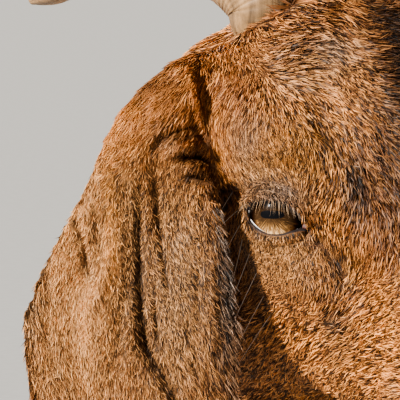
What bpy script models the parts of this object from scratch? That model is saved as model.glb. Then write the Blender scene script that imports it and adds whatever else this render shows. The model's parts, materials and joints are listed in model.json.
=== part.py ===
"""A Boer goat doe at life size, standing, with its head turned to its left.

The goat faces -Y with +Z up, so its right side is at -X. The flesh is one smooth field of
limbs, barrels and ellipsoids, meshed once for the body and once, finer, for the head, and
then parted by thin cuts. Ears, horns, eyes, tail, udder and claws are pieces of their own.
"""

import math
import random

import bmesh
import bpy
import numpy as np
from mathutils import Matrix, Vector

# Gap that neighbouring pieces keep, in metres
GAP = 0.0003
# Points closer than this are one point
WELD = 0.00002

# Body, in metres. BODY_FRONT is the y of the breast
WITHERS_HEIGHT = 0.70
BODY_FRONT = -0.40
BELLY_HALF_WIDTH = 0.188
BODY_STEP = 0.0085

# Head. In its own frame it lies along y with the nose at -y and the forehead at +z
HEAD_TURN = math.radians(28)
HEAD_PITCH = math.radians(28)
POLL = Vector((0.008, -0.480, 0.920))
HEAD_STEP = 0.0032
EYE_RADIUS = 0.0160
EYE_CENTRE = Vector((-0.0453, -0.0978, 0.0025))
EYE_OUTWARD = math.radians(52)
LID_TILT = math.radians(19)
LID_HALF_LENGTH = 0.0160
LID_UPPER = 0.0080
LID_LOWER = 0.0088
LID_THICKNESS = 0.0026

# Legs: heights of the joints, and how far each foot stands from the middle
FOOT_HALF_SPREAD = 0.105
ELBOW_HEIGHT = 0.40
KNEE_HEIGHT = 0.245
HOCK_HEIGHT = 0.275
FETLOCK_HEIGHT = 0.088
CORONET_TOE_HEIGHT = 0.046
CORONET_HEEL_HEIGHT = 0.030
CLAW_LENGTH = 0.056
CLAW_WIDTH = 0.0235
CLAW_SPLIT = 0.0016

# Triangles left on each flesh mesh after it is thinned
BODY_TRIANGLES = 3900
HEAD_TRIANGLES = 3500
UDDER_TRIANGLES = 260

RED = (0.235, 0.075, 0.028)
WHITE = (0.78, 0.72, 0.63)
COAT_ROUGHNESS = 0.8
HORN_COLOUR = (0.30, 0.23, 0.16)
CLAW_COLOUR = (0.10, 0.075, 0.055)
EYE_COLOUR = (0.22, 0.11, 0.035)
SKIN_PINK = (0.45, 0.28, 0.22)


def clear_scene():
    for obj in list(bpy.data.objects):
        bpy.data.objects.remove(obj)


def material(name, colour, roughness):
    made = bpy.data.materials.new(name)
    made.use_nodes = True
    shader = made.node_tree.nodes["Principled BSDF"]
    shader.inputs["Base Color"].default_value = (*colour, 1)
    shader.inputs["Roughness"].default_value = roughness
    made.diffuse_color = (*colour, 1)
    return made


def add_object(name, points, faces, coat):
    mesh = bpy.data.meshes.new(name)
    mesh.from_pydata([tuple(p) for p in points], [], [tuple(f) for f in faces])
    mesh.validate()
    obj = bpy.data.objects.new(name, mesh)
    bpy.context.scene.collection.objects.link(obj)
    if coat:
        mesh.materials.append(coat)
    return obj


def settle(obj):
    """Turns the object's evaluated mesh into its own mesh, with every modifier applied."""
    graph = bpy.context.evaluated_depsgraph_get()
    made = bpy.data.meshes.new_from_object(obj.evaluated_get(graph))
    obj.modifiers.clear()
    obj.data = made
    return obj


def copy_of(obj, name):
    made = obj.copy()
    made.data = obj.data.copy()
    made.name = name
    bpy.context.scene.collection.objects.link(made)
    return made


def boolean(obj, cutter, operation, solver="EXACT"):
    modifier = obj.modifiers.new(operation.lower(), "BOOLEAN")
    modifier.operation = operation
    modifier.object = cutter
    modifier.solver = solver
    return settle(obj)


def remove(*objects):
    for obj in objects:
        bpy.data.objects.remove(obj)


def keep_largest(obj):
    """Drops all but the largest closed surface of a mesh."""
    shape = bmesh.new()
    shape.from_mesh(obj.data)
    unseen = set(shape.verts)
    shells = []
    while unseen:
        front = [unseen.pop()]
        shell = list(front)
        while front:
            vertex = front.pop()
            for edge in vertex.link_edges:
                other = edge.other_vert(vertex)
                if other in unseen:
                    unseen.remove(other)
                    front.append(other)
                    shell.append(other)
        shells.append(shell)
    shells.sort(key=len, reverse=True)
    for shell in shells[1:]:
        bmesh.ops.delete(shape, geom=shell, context="VERTS")
    shape.to_mesh(obj.data)
    shape.free()
    return obj


def keep_side(obj, point, normal):
    """Cuts a mesh with a plane, keeps the side that the normal points away from, and closes it."""
    shape = bmesh.new()
    shape.from_mesh(obj.data)
    everything = shape.verts[:] + shape.edges[:] + shape.faces[:]
    cut = bmesh.ops.bisect_plane(
        shape, geom=everything, plane_co=point, plane_no=normal, clear_outer=True
    )
    rim = [e for e in cut["geom_cut"] if isinstance(e, bmesh.types.BMEdge)]
    bmesh.ops.holes_fill(shape, edges=rim, sides=0)
    bmesh.ops.recalc_face_normals(shape, faces=shape.faces[:])
    shape.to_mesh(obj.data)
    shape.free()
    return obj


def grown(obj, distance):
    """A copy of the object pushed out along its normals, to cut neighbours with."""
    cutter = copy_of(obj, obj.name + "_grown")
    modifier = cutter.modifiers.new("grow", "DISPLACE")
    modifier.mid_level = 0
    modifier.strength = distance
    return settle(cutter)


def curve_through(xs, ys, x):
    """Values at x on a smooth curve through the points (xs, ys), which has no overshoot at the ends."""
    xs = np.asarray(xs, float)
    ys = np.asarray(ys, float)
    steps = np.diff(xs)
    rises = np.diff(ys) / steps
    slopes = np.zeros(len(xs))
    slopes[1:-1] = (rises[:-1] * steps[1:] + rises[1:] * steps[:-1]) / (steps[:-1] + steps[1:])
    slopes[0] = rises[0]
    slopes[-1] = rises[-1]
    x = np.clip(x, xs[0], xs[-1])
    cell = np.clip(np.searchsorted(xs, x, side="right") - 1, 0, len(xs) - 2)
    width = steps[cell]
    t = (x - xs[cell]) / width
    return (
        (1 + 2 * t) * (1 - t) ** 2 * ys[cell]
        + t * (1 - t) ** 2 * width * slopes[cell]
        + t * t * (3 - 2 * t) * ys[cell + 1]
        + t * t * (t - 1) * width * slopes[cell + 1]
    )


def smooth_path(points, count):
    """count points on a smooth curve through the given points, evenly spread by number."""
    points = np.array([tuple(p) for p in points], float)
    knots = np.arange(len(points), dtype=float)
    at = np.linspace(0, len(points) - 1, count)
    return np.stack([curve_through(knots, points[:, k], at) for k in range(3)], axis=1)


def smooth_step(low, high, x):
    t = np.clip((x - low) / (high - low), 0, 1)
    return t * t * (3 - 2 * t)


# The field: each shape gives a distance in metres, below zero inside

FAR = 1.0


def smooth_union(a, b, blend):
    share = np.clip(0.5 + 0.5 * (b - a) / blend, 0, 1)
    return b + (a - b) * share - blend * share * (1 - share)


def smooth_cut(a, b, blend):
    return -smooth_union(-a, b, blend)


def ellipsoid(points, centre, radii, tilt=0.0):
    """An ellipsoid, tilted about the x axis."""
    local = points - np.asarray(centre, float)
    if tilt:
        c, s = math.cos(tilt), math.sin(tilt)
        local = np.stack(
            [local[:, 0], c * local[:, 1] + s * local[:, 2], -s * local[:, 1] + c * local[:, 2]],
            axis=1,
        )
    radii = np.asarray(radii, float)
    scaled = np.linalg.norm(local / radii, axis=1)
    steep = np.linalg.norm(local / radii**2, axis=1) + 1e-9
    return scaled * (scaled - 1) / steep


def limb(points, path, radii, squash=(1, 1, 1), pieces=4):
    """A tapering limb along a smooth path. squash widens it along each axis."""
    squash = np.asarray(squash, float)
    count = (len(path) - 1) * pieces + 1
    line = smooth_path(path, count)
    sizes = curve_through(np.arange(len(radii)), radii, np.linspace(0, len(radii) - 1, count))
    reach = (sizes.max() + 0.06) * squash.max()
    near = np.all((points > line.min(0) - reach) & (points < line.max(0) + reach), axis=1)
    local = points[near] / squash
    line = line / squash
    best = np.full(len(local), FAR)
    for a, b, ra, rb in zip(line[:-1], line[1:], sizes[:-1], sizes[1:]):
        along = b - a
        t = np.clip((local - a) @ along / (along @ along), 0, 1)
        away = np.linalg.norm(local - a - t[:, None] * along, axis=1)
        best = np.minimum(best, away - (ra + (rb - ra) * t))
    found = np.full(len(points), FAR)
    found[near] = best * squash.min()
    return found


def barrel(points, at, top, bottom, half_width, roundness):
    """A lofted body along y. Its sections are rounded boxes between top and bottom."""
    y = points[:, 1]
    high = curve_through(at, top, y)
    low = curve_through(at, bottom, y)
    wide = curve_through(at, half_width, y)
    middle = (high + low) / 2
    tall = (high - low) / 2
    across = np.abs(points[:, 0]) / wide
    upward = np.abs(points[:, 2] - middle) / tall
    radius = (across**roundness + upward**roundness) ** (1 / roundness)
    flesh = (radius - 1) * np.minimum(wide, tall)
    beyond = np.maximum(at[0] - y, y - at[-1])
    return np.maximum(flesh, beyond)


def both_sides(shape, points, centre, *rest, **named):
    """A shape on the left and on the right, at plus and minus its x."""
    folded = points.copy()
    folded[:, 0] = np.abs(folded[:, 0])
    return shape(folded, centre, *rest, **named)


def head_matrix():
    return (
        Matrix.Translation(POLL)
        @ Matrix.Rotation(HEAD_TURN, 4, "Z")
        @ Matrix.Rotation(HEAD_PITCH, 4, "X")
    )


def to_head(points):
    inverse = np.array(head_matrix().inverted())
    return points @ inverse[:3, :3].T + inverse[:3, 3]


def head_point(local):
    return head_matrix() @ Vector(local)


def right_to_left(points):
    """Mirrors world points in the middle plane of the head."""
    matrix = np.array(head_matrix())
    local = to_head(np.asarray(points, float))
    local[:, 0] *= -1
    return local @ matrix[:3, :3].T + matrix[:3, 3]


def back(length):
    """The y that lies this far back from the breast."""
    return BODY_FRONT + length


def trunk_field(points):
    at = [back(s) for s in (-0.01, 0.03, 0.10, 0.20, 0.32, 0.44, 0.56, 0.66, 0.74, 0.80, 0.825)]
    high = WITHERS_HEIGHT
    top = [0.60, 0.66, high - 0.005, high, high - 0.012, high - 0.012, high - 0.003, high + 0.002,
           high - 0.022, high - 0.072, high - 0.12]
    bottom = [0.44, 0.385, 0.345, 0.338, 0.325, 0.318, 0.335, 0.39, 0.45, 0.50, 0.54]
    wide = BELLY_HALF_WIDTH
    half_width = [0.055, 0.09, 0.118, 0.142, wide - 0.012, wide, wide - 0.014, wide - 0.046,
                  0.115, 0.075, 0.03]
    return barrel(points, at, top, bottom, half_width, 2.25)


def shoulder_field(points):
    blade = both_sides(ellipsoid, points, (0.092, back(0.135), 0.545), (0.055, 0.088, 0.150), 0.22)
    upper_arm = both_sides(ellipsoid, points, (0.108, back(0.105), 0.445), (0.048, 0.075, 0.075))
    return smooth_union(blade, upper_arm, 0.04)


def brisket_field(points):
    return ellipsoid(points, (0, back(0.045), 0.445), (0.085, 0.085, 0.105), -0.35)


def rump_field(points):
    thigh = both_sides(ellipsoid, points, (0.102, back(0.675), 0.525), (0.068, 0.118, 0.160), -0.12)
    stifle = both_sides(ellipsoid, points, (0.125, back(0.615), 0.425), (0.045, 0.070, 0.085), 0.25)
    buttock = both_sides(ellipsoid, points, (0.072, back(0.775), 0.555), (0.048, 0.050, 0.100))
    hips = both_sides(ellipsoid, points, (0.100, back(0.575), 0.655), (0.045, 0.055, 0.035))
    flesh = smooth_union(thigh, stifle, 0.05)
    flesh = smooth_union(flesh, buttock, 0.05)
    return smooth_union(flesh, hips, 0.05)


def foreleg_field(points):
    spread = FOOT_HALF_SPREAD
    arm = [
        (spread + 0.012, back(0.150), ELBOW_HEIGHT + 0.03),
        (spread + 0.008, back(0.145), 0.345),
        (spread + 0.003, back(0.138), 0.290),
        (spread, back(0.130), KNEE_HEIGHT),
        (spread, back(0.134), 0.205),
        (spread, back(0.138), 0.145),
        (spread, back(0.138), FETLOCK_HEIGHT),
        (spread, back(0.122), 0.055),
        (spread, back(0.112), 0.028),
    ]
    radii = [0.058, 0.041, 0.0290, 0.0275, 0.0205, 0.0185, 0.0235, 0.0215, 0.0265]
    return both_sides(limb, points, arm, radii, squash=(0.94, 1.08, 1))


def hindleg_field(points):
    spread = FOOT_HALF_SPREAD
    leg = [
        (spread + 0.018, back(0.655), 0.470),
        (spread + 0.018, back(0.680), 0.400),
        (spread + 0.008, back(0.735), 0.335),
        (spread, back(0.785), HOCK_HEIGHT),
        (spread, back(0.788), 0.225),
        (spread, back(0.776), 0.155),
        (spread, back(0.764), FETLOCK_HEIGHT + 0.006),
        (spread, back(0.744), 0.056),
        (spread, back(0.732), 0.028),
    ]
    radii = [0.080, 0.062, 0.0380, 0.0300, 0.0235, 0.0190, 0.0235, 0.0215, 0.0265]
    limb_field = both_sides(limb, points, leg, radii, squash=(0.88, 1.12, 1))
    heel = both_sides(ellipsoid, points, (spread, back(0.812), HOCK_HEIGHT + 0.012), (0.011, 0.016, 0.028))
    return smooth_union(limb_field, heel, 0.02)


def neck_field(points):
    path = [
        (0, back(0.150), 0.560),
        (0, back(0.066), 0.655),
        (0.001, back(0.004), 0.742),
        (0.004, back(-0.035), 0.815),
        (0.007, back(-0.057), 0.878),
    ]
    radii = [0.152, 0.126, 0.092, 0.069, 0.059]
    return limb(points, path, radii, squash=(0.76, 1.0, 1.0), pieces=6)


def skull_field(points):
    """The head in its own frame: cranium and nose, jaw, orbits, cheeks, lips and nostrils."""
    at = [-0.270, -0.258, -0.240, -0.210, -0.175, -0.140, -0.105, -0.070, -0.035, 0.0, 0.030]
    top = [-0.016, 0.002, 0.015, 0.031, 0.046, 0.059, 0.070, 0.079, 0.081, 0.060, 0.022]
    bottom = [-0.026, -0.032, -0.034, -0.036, -0.038, -0.042, -0.048, -0.052, -0.055, -0.055, -0.04]
    half_width = [0.008, 0.021, 0.026, 0.0275, 0.032, 0.041, 0.047, 0.047, 0.045, 0.041, 0.028]
    face = barrel(points, at, top, bottom, half_width, 2.35)
    at = [-0.252, -0.240, -0.205, -0.165, -0.125, -0.085, -0.050, -0.020, 0.005]
    top = [-0.036, -0.033, -0.030, -0.026, -0.020, -0.012, -0.006, -0.004, -0.01]
    bottom = [-0.044, -0.050, -0.055, -0.064, -0.077, -0.090, -0.093, -0.084, -0.06]
    half_width = [0.008, 0.018, 0.022, 0.026, 0.032, 0.036, 0.036, 0.033, 0.022]
    jaw = barrel(points, at, top, bottom, half_width, 2.1)
    flesh = smooth_union(face, jaw, 0.018)
    masseter = both_sides(ellipsoid, points, (0.025, -0.054, -0.050), (0.015, 0.042, 0.038))
    flesh = smooth_union(flesh, masseter, 0.026)
    brow = both_sides(ellipsoid, points, (0.045, -0.078, 0.038), (0.023, 0.032, 0.023), 0.3)
    flesh = smooth_union(flesh, brow, 0.018)
    orbit = both_sides(ellipsoid, points, (0.043, -0.104, 0.004), (0.0165, 0.020, 0.021))
    flesh = smooth_union(flesh, orbit, 0.012)
    arch = both_sides(
        limb, points, [(0.040, -0.126, -0.014), (0.038, -0.096, -0.022), (0.036, -0.052, -0.012)],
        [0.007, 0.007, 0.008])
    flesh = smooth_union(flesh, arch, 0.02)
    temple = both_sides(ellipsoid, points, (0.036, -0.048, 0.022), (0.016, 0.034, 0.030))
    flesh = smooth_union(flesh, temple, 0.02)
    rim = both_sides(ellipsoid, points, (0.050, -0.064, 0.024), (0.0165, 0.024, 0.025))
    flesh = smooth_union(flesh, rim, 0.010)
    ridge = both_sides(ellipsoid, points, (0.052, -0.044, 0.030), (0.012, 0.020, 0.018))
    flesh = smooth_union(flesh, ridge, 0.012)
    tear = both_sides(
        limb, points, [(0.052, -0.122, 0.010), (0.044, -0.142, 0.000), (0.036, -0.165, -0.008)],
        [0.006, 0.007, 0.005])
    flesh = smooth_cut(flesh, tear, 0.016)
    bone = both_sides(
        limb, points, [(0.020, -0.100, 0.064), (0.013, -0.150, 0.0495), (0.009, -0.215, 0.0235)],
        [0.008, 0.009, 0.008])
    flesh = smooth_union(flesh, bone, 0.016)
    wing = both_sides(
        limb, points, [(0.010, -0.254, 0.000), (0.019, -0.249, 0.004), (0.022, -0.236, -0.004)],
        [0.008, 0.008, 0.007])
    flesh = smooth_union(flesh, wing, 0.010)
    lip = both_sides(
        limb, points, [(0.006, -0.262, -0.024), (0.020, -0.248, -0.026), (0.025, -0.215, -0.028)],
        [0.010, 0.010, 0.007])
    flesh = smooth_union(flesh, lip, 0.010)
    chin = ellipsoid(points, (0, -0.234, -0.045), (0.019, 0.020, 0.012))
    flesh = smooth_union(flesh, chin, 0.012)
    corner = both_sides(
        limb, points, [(0.0275, -0.200, -0.032), (0.027, -0.185, -0.034)], [0.008, 0.006])
    flesh = smooth_union(flesh, corner, 0.012)
    collar = both_sides(
        limb, points, [(0.026, -0.050, 0.050), (0.029, -0.046, 0.062)], [0.022, 0.0205])
    flesh = smooth_union(flesh, collar, 0.018)
    ear_root = both_sides(ellipsoid, points, (0.046, -0.022, 0.014), (0.019, 0.027, 0.025))
    return smooth_union(flesh, ear_root, 0.018)


def flesh_field(points):
    """The whole goat without ears, horns, tail, udder and claws."""
    body = trunk_field(points)
    body = smooth_union(body, shoulder_field(points), 0.045)
    body = smooth_union(body, brisket_field(points), 0.05)
    body = smooth_union(body, rump_field(points), 0.05)
    body = smooth_union(body, foreleg_field(points), 0.03)
    body = smooth_union(body, hindleg_field(points), 0.035)
    return smooth_union(body, upper_field(points), 0.06)


def upper_field(points):
    """The neck and the head."""
    return smooth_union(neck_field(points), skull_field(to_head(points)), 0.035)


def net_of(field, low, high, step, place=None):
    """Meshes the zero level of a field on a grid, with one point in each cell that the surface crosses.

    place turns grid points into world points, for a grid that isn't aligned with the world.
    """
    counts = np.ceil((np.asarray(high) - np.asarray(low)) / step).astype(int) + 1
    axes = [low[k] + step * np.arange(counts[k]) for k in range(3)]
    grid = np.stack(np.meshgrid(*axes, indexing="ij"), axis=-1).reshape(-1, 3)
    values = field(place(grid) if place else grid).reshape(counts)
    inside = values < 0
    cells = counts - 1
    total = np.zeros((*cells, 3))
    hits = np.zeros(cells, int)
    crossings = []
    for axis in range(3):
        first = [slice(None)] * 3
        second = [slice(None)] * 3
        first[axis] = slice(0, -1)
        second[axis] = slice(1, None)
        a, b = values[tuple(first)], values[tuple(second)]
        spots = np.argwhere(inside[tuple(first)] != inside[tuple(second)])
        at = tuple(spots.T)
        points = spots.astype(float)
        points[:, axis] += a[at] / (a[at] - b[at])
        u, v = [k for k in range(3) if k != axis]
        around = []
        usable = np.ones(len(spots), bool)
        for du, dv in ((1, 1), (0, 1), (0, 0), (1, 0)):
            cell = spots.copy()
            cell[:, u] -= du
            cell[:, v] -= dv
            fits = np.all((cell >= 0) & (cell < cells), axis=1)
            usable &= fits
            np.add.at(total, tuple(cell[fits].T), points[fits])
            np.add.at(hits, tuple(cell[fits].T), 1)
            around.append(cell)
        turned = inside[tuple(first)][at] != (axis == 1)
        crossings.append((np.stack(around, axis=1)[usable], turned[usable]))
    used = hits > 0
    index = np.full(cells, -1)
    index[used] = np.arange(used.sum())
    corners = total[used] / hits[used][:, None] * step + np.asarray(low)
    faces = []
    for around, turned in crossings:
        quads = index[around[..., 0], around[..., 1], around[..., 2]]
        quads[~turned] = quads[~turned][:, ::-1]
        faces.append(quads)
    return (place(corners) if place else corners), np.concatenate(faces)


def thinned(obj, triangles, rounds=6):
    """Smooths a meshed field a little and thins it to about this many triangles."""
    smoothing = obj.modifiers.new("smooth", "SMOOTH")
    smoothing.factor = 0.5
    smoothing.iterations = rounds
    collapse = obj.modifiers.new("thin", "DECIMATE")
    collapse.ratio = triangles / (2 * len(obj.data.polygons))
    collapse.use_collapse_triangulate = True
    return mended(settle(obj))


def mended(obj):
    """Merges points that coincide, and collapses short edges shared by more than two faces."""
    shape = bmesh.new()
    shape.from_mesh(obj.data)
    bmesh.ops.remove_doubles(shape, verts=shape.verts[:], dist=WELD)
    pinched = [edge for edge in shape.edges if len(edge.link_faces) > 2]
    while pinched:
        bmesh.ops.collapse(shape, edges=pinched)
        pinched = [edge for edge in shape.edges if len(edge.link_faces) > 2]
    shape.to_mesh(obj.data)
    shape.free()
    return obj


def from_head(points):
    matrix = np.array(head_matrix())
    return points @ matrix[:3, :3].T + matrix[:3, 3]


# Cutting planes between the nodes of flesh: a point, and the normal towards the head end

NECK_BASE = (Vector((0, back(0.085), 0.690)), Vector((0, -0.62, 0.78)).normalized())


def head_base():
    top = head_point((0, 0.030, 0.060))
    throat = head_point((0, -0.085, -0.120))
    across = head_matrix().to_3x3() @ Vector((1, 0, 0))
    return (top + throat) / 2, (throat - top).cross(across).normalized()


def leg_box(inner, sign, front, rear, top_front, top_rear):
    """A box for cutting one leg, from its inner x outwards. Its top slopes from the front to the rear."""
    points = []
    for x in (inner, sign * 0.3):
        for y, top in ((front, top_front), (rear, top_rear)):
            points += [(x, y, -0.1), (x, y, top)]
    faces = [(0, 1, 3, 2), (4, 6, 7, 5), (0, 4, 5, 1), (2, 3, 7, 6), (1, 5, 7, 3), (0, 2, 6, 4)]
    box = add_object("leg_box", points, faces, None)
    shape = bmesh.new()
    shape.from_mesh(box.data)
    bmesh.ops.recalc_face_normals(shape, faces=shape.faces[:])
    shape.to_mesh(box.data)
    shape.free()
    return box


# Boxes that part the legs from the torso: front, rear, and the height of the cut at each end
LEG_CUTS = {
    "foreleg": (back(0.0), back(0.24), 0.318, 0.318),
    "hindleg": (back(0.55), back(1.0), 0.345, 0.480),
}
LEG_CUT_INNER = 0.022
SIDES = {"left": 1, "right": -1}


def make_body(white, red):
    """Torso, neck and legs, parted from one mesh. Returns the mesh below the neck, whole, and the neck."""
    low = (-0.27, back(-0.19), -0.02)
    high = (0.27, back(0.90), 1.06)
    points, quads = net_of(flesh_field, low, high, BODY_STEP)
    body = thinned(add_object("body", points, quads, white), BODY_TRIANGLES, rounds=3)
    keep_largest(body)
    neck = copy_of(body, "neck")
    keep_side(neck, NECK_BASE[0] + NECK_BASE[1] * GAP / 2, -NECK_BASE[1])
    point, normal = head_base()
    keep_side(neck, point - normal * GAP / 2, normal)
    keep_largest(neck)
    neck.data.materials.clear()
    neck.data.materials.append(red)
    keep_side(body, NECK_BASE[0] - NECK_BASE[1] * GAP / 2, NECK_BASE[1])
    keep_largest(body)
    torso = copy_of(body, "torso")
    for leg, (front, rear, top_front, top_rear) in LEG_CUTS.items():
        for side, sign in SIDES.items():
            inner = sign * LEG_CUT_INNER
            box = leg_box(inner, sign, front, rear, top_front, top_rear)
            made = copy_of(body, f"{leg}_{side}")
            boolean(made, box, "INTERSECT", "MANIFOLD")
            keep_largest(made)
            remove(box)
            box = leg_box(inner - sign * GAP, sign, front - GAP, rear, top_front + GAP, top_rear + GAP)
            boolean(torso, box, "DIFFERENCE", "MANIFOLD")
            remove(box)
    keep_largest(torso)
    return body, neck


# The y of the middle of each foot
FEET = {"foreleg": back(0.112), "hindleg": back(0.732)}


def coronet(leg):
    """The plane between flesh and claws: a point and its upward normal."""
    y = FEET[leg]
    half = 0.027
    slope = (CORONET_TOE_HEIGHT - CORONET_HEEL_HEIGHT) / (2 * half)
    middle = (CORONET_TOE_HEIGHT + CORONET_HEEL_HEIGHT) / 2
    return Vector((0, y, middle)), Vector((0, slope, 1)).normalized()


def claw_ring(height_share, leg, sign, outer):
    """One ring of a claw. height_share is 0 at the ground and 1 at the coronet."""
    middle, normal = coronet(leg)
    lean = 0.011 * (1 - height_share)
    taper = 1 - 0.10 * height_share
    ring = []
    steps = 14
    for k in range(steps):
        angle = 2 * math.pi * k / steps
        across = math.cos(angle)
        along = math.sin(angle)
        width = CLAW_WIDTH / 2 * taper
        narrow = 1 - 0.34 * max(-along, 0) ** 1.5
        x = CLAW_SPLIT / 2 + width + width * np.sign(across) * abs(across) ** 0.75 * narrow
        x -= 0.10 * width * max(-along, 0)
        y = middle.y - lean + CLAW_LENGTH / 2 * taper * np.sign(along) * abs(along) ** 0.86
        x = max(x, CLAW_SPLIT / 2)
        top = middle.z - (y - middle.y) * normal.y / normal.z - GAP
        ring.append((sign * FOOT_HALF_SPREAD + outer * x, y, top * height_share))
    return ring if outer > 0 else ring[::-1]


def loft(name, rings, coat):
    """Joins rings of equal count with quads and closes both ends."""
    count = len(rings[0])
    points = [p for ring in rings for p in ring]
    faces = []
    for r in range(len(rings) - 1):
        for k in range(count):
            a = r * count + k
            b = r * count + (k + 1) % count
            faces.append((a, b, b + count, a + count))
    faces.append(tuple(range(count))[::-1])
    last = (len(rings) - 1) * count
    faces.append(tuple(range(last, last + count)))
    made = add_object(name, points, faces, coat)
    shape = bmesh.new()
    shape.from_mesh(made.data)
    bmesh.ops.recalc_face_normals(shape, faces=shape.faces[:])
    shape.to_mesh(made.data)
    shape.free()
    return made


def make_feet(horn):
    for leg in FEET:
        point, normal = coronet(leg)
        for side, sign in SIDES.items():
            limb_node = bpy.data.objects[f"{leg}_{side}"]
            keep_side(limb_node, point, -normal)
            keep_largest(limb_node)
            for name, outer in (("inner", -sign), ("outer", sign)):
                shares = (0.0, 0.12, 0.55, 1.0)
                rings = [claw_ring(share, leg, sign, outer) for share in shares]
                loft(f"claw_{leg}_{side}_{name}", rings, horn)
            cutter = grown(limb_node, GAP)
            for name, outer in (("inner", -sign), ("outer", sign)):
                make_dewclaw(f"dewclaw_{leg}_{side}_{name}", leg, sign, outer, cutter, horn)
            remove(cutter)


def tube(name, path, radii, coat, sides=12, squash=1.0, across=Vector((1, 0, 0))):
    """A tube of round or oval rings along a path. squash narrows the ring along the across direction."""
    rings = []
    path = [Vector(p) for p in path]
    for k, centre in enumerate(path):
        ahead = (path[min(k + 1, len(path) - 1)] - path[max(k - 1, 0)]).normalized()
        side = (across - ahead * across.dot(ahead)).normalized()
        up = ahead.cross(side)
        ring = []
        for j in range(sides):
            angle = 2 * math.pi * j / sides
            ring.append(centre + (side * math.cos(angle) * squash + up * math.sin(angle)) * radii[k])
        rings.append(ring)
    return loft(name, rings, coat)


def make_dewclaw(name, leg, sign, outer, cutter, horn):
    heel = 0.160 if leg == "foreleg" else 0.787
    x = sign * FOOT_HALF_SPREAD + outer * 0.0115
    path = [
        (x - outer * 0.004, back(heel) - 0.014, 0.082),
        (x, back(heel), 0.075),
        (x + outer * 0.001, back(heel) + 0.006, 0.067),
        (x + outer * 0.001, back(heel) + 0.007, 0.060),
    ]
    made = tube(name, path, [0.0080, 0.0075, 0.0058, 0.0026], horn, sides=7)
    boolean(made, cutter, "DIFFERENCE")
    keep_largest(made)


def eye_axes(side=1):
    """Centre, outward axis, axis towards the nose and up axis of an eye. side is 1 for the right eye."""
    yaw = Matrix.Rotation(HEAD_TURN, 3, "Z")
    local = EYE_CENTRE.copy()
    local.x *= side
    out = yaw @ Vector((-math.sin(EYE_OUTWARD) * side, -math.cos(EYE_OUTWARD), 0))
    ahead = yaw @ Vector((math.cos(EYE_OUTWARD) * side, -math.sin(EYE_OUTWARD), 0))
    return head_point(local), out, ahead, Vector((0, 0, 1))


def lid_cutter(side):
    """The almond of the open lids, swept out along the axis of the eye."""
    centre, out, ahead, up = eye_axes(side)
    tilt_ahead = ahead * math.cos(LID_TILT) - up * math.sin(LID_TILT)
    tilt_up = ahead * math.sin(LID_TILT) + up * math.cos(LID_TILT)
    rings = []
    for depth, spread in ((0.0070, 0.88), (0.0125, 0.97), (0.0300, 1.50)):
        ring = []
        for k in range(20):
            angle = 2 * math.pi * k / 20
            along = math.cos(angle)
            height = LID_UPPER if math.sin(angle) > 0 else LID_LOWER
            rise = math.sin(angle) * height * (1 - 0.25 * along * (1 if math.sin(angle) > 0 else -1))
            ring.append(
                centre + out * depth
                + (tilt_ahead * along * LID_HALF_LENGTH + tilt_up * rise) * spread
            )
        rings.append(ring)
    return loft("lids", rings, None)


def sphere(name, centre, radius, coat, turn, segments=16, rings=8):
    shape = bmesh.new()
    bmesh.ops.create_uvsphere(shape, u_segments=segments, v_segments=rings, radius=radius)
    mesh = bpy.data.meshes.new(name)
    shape.to_mesh(mesh)
    shape.free()
    mesh.transform(Matrix.Translation(centre) @ turn.to_matrix().to_4x4())
    obj = bpy.data.objects.new(name, mesh)
    bpy.context.scene.collection.objects.link(obj)
    if coat:
        mesh.materials.append(coat)
    mesh.shade_smooth()
    return obj


def make_eyes(head, iris):
    for side, sign in (("right", 1), ("left", -1)):
        centre, out, ahead, up = eye_axes(sign)
        turn = out.to_track_quat("Z", "Y")
        lid = sphere("lid", centre, EYE_RADIUS + LID_THICKNESS, None, turn, 24, 14)
        boolean(head, lid, "UNION")
        opening = lid_cutter(sign)
        boolean(head, opening, "DIFFERENCE")
        socket = sphere("socket", centre, EYE_RADIUS + GAP, None, turn)
        boolean(head, socket, "DIFFERENCE")
        sphere(f"eye_{side}", centre, EYE_RADIUS, iris, turn)
        remove(lid, opening, socket)


MOUTH_LINE = [
    (0.0, -0.275, -0.0335),
    (0.012, -0.267, -0.0345),
    (0.022, -0.252, -0.0370),
    (0.0285, -0.232, -0.0375),
    (0.0315, -0.210, -0.0350),
    (0.0315, -0.188, -0.0315),
]


def cut_mouth(head):
    """A thin groove between the lips, from one corner of the mouth round the muzzle to the other."""
    half = smooth_path(MOUTH_LINE, 12)
    whole = [Vector(p) for p in half[::-1]] + [Vector((-p[0], p[1], p[2])) for p in half[1:]]
    rings = []
    for k, point in enumerate(whole):
        ahead = (whole[min(k + 1, len(whole) - 1)] - whole[max(k - 1, 0)]).normalized()
        inward = Vector((0, 0, 1)).cross(ahead).normalized()
        if inward.dot(Vector((-point.x, 0.1, 0))) < 0:
            inward = -inward
        outer = point - inward * 0.004
        depth = 0.0075
        ring = [outer + Vector((0, 0, 0.0016)), outer - Vector((0, 0, 0.0016)),
                point + inward * depth - Vector((0, 0, 0.0003)),
                point + inward * depth + Vector((0, 0, 0.0003))]
        rings.append([head_point(p) for p in ring])
    cutter = loft("mouth", rings, None)
    boolean(head, cutter, "DIFFERENCE")
    remove(cutter)


def cut_nostrils(head):
    for side in (1, -1):
        path = [(0.0065, -0.278, -0.0075), (0.0105, -0.262, -0.0045), (0.0160, -0.2535, 0.0005),
                (0.0235, -0.2500, 0.0035), (0.0300, -0.247, 0.0040)]
        path = [head_point((side * x, y, z)) for x, y, z in path]
        across = head_matrix().to_3x3() @ Vector((0.3 * side, -1, 0))
        cutter = tube("nostril", path, [0.0012, 0.0034, 0.0040, 0.0026, 0.0012], None,
                      sides=10, squash=1.9, across=across)
        boolean(head, cutter, "DIFFERENCE")
        remove(cutter)


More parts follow.
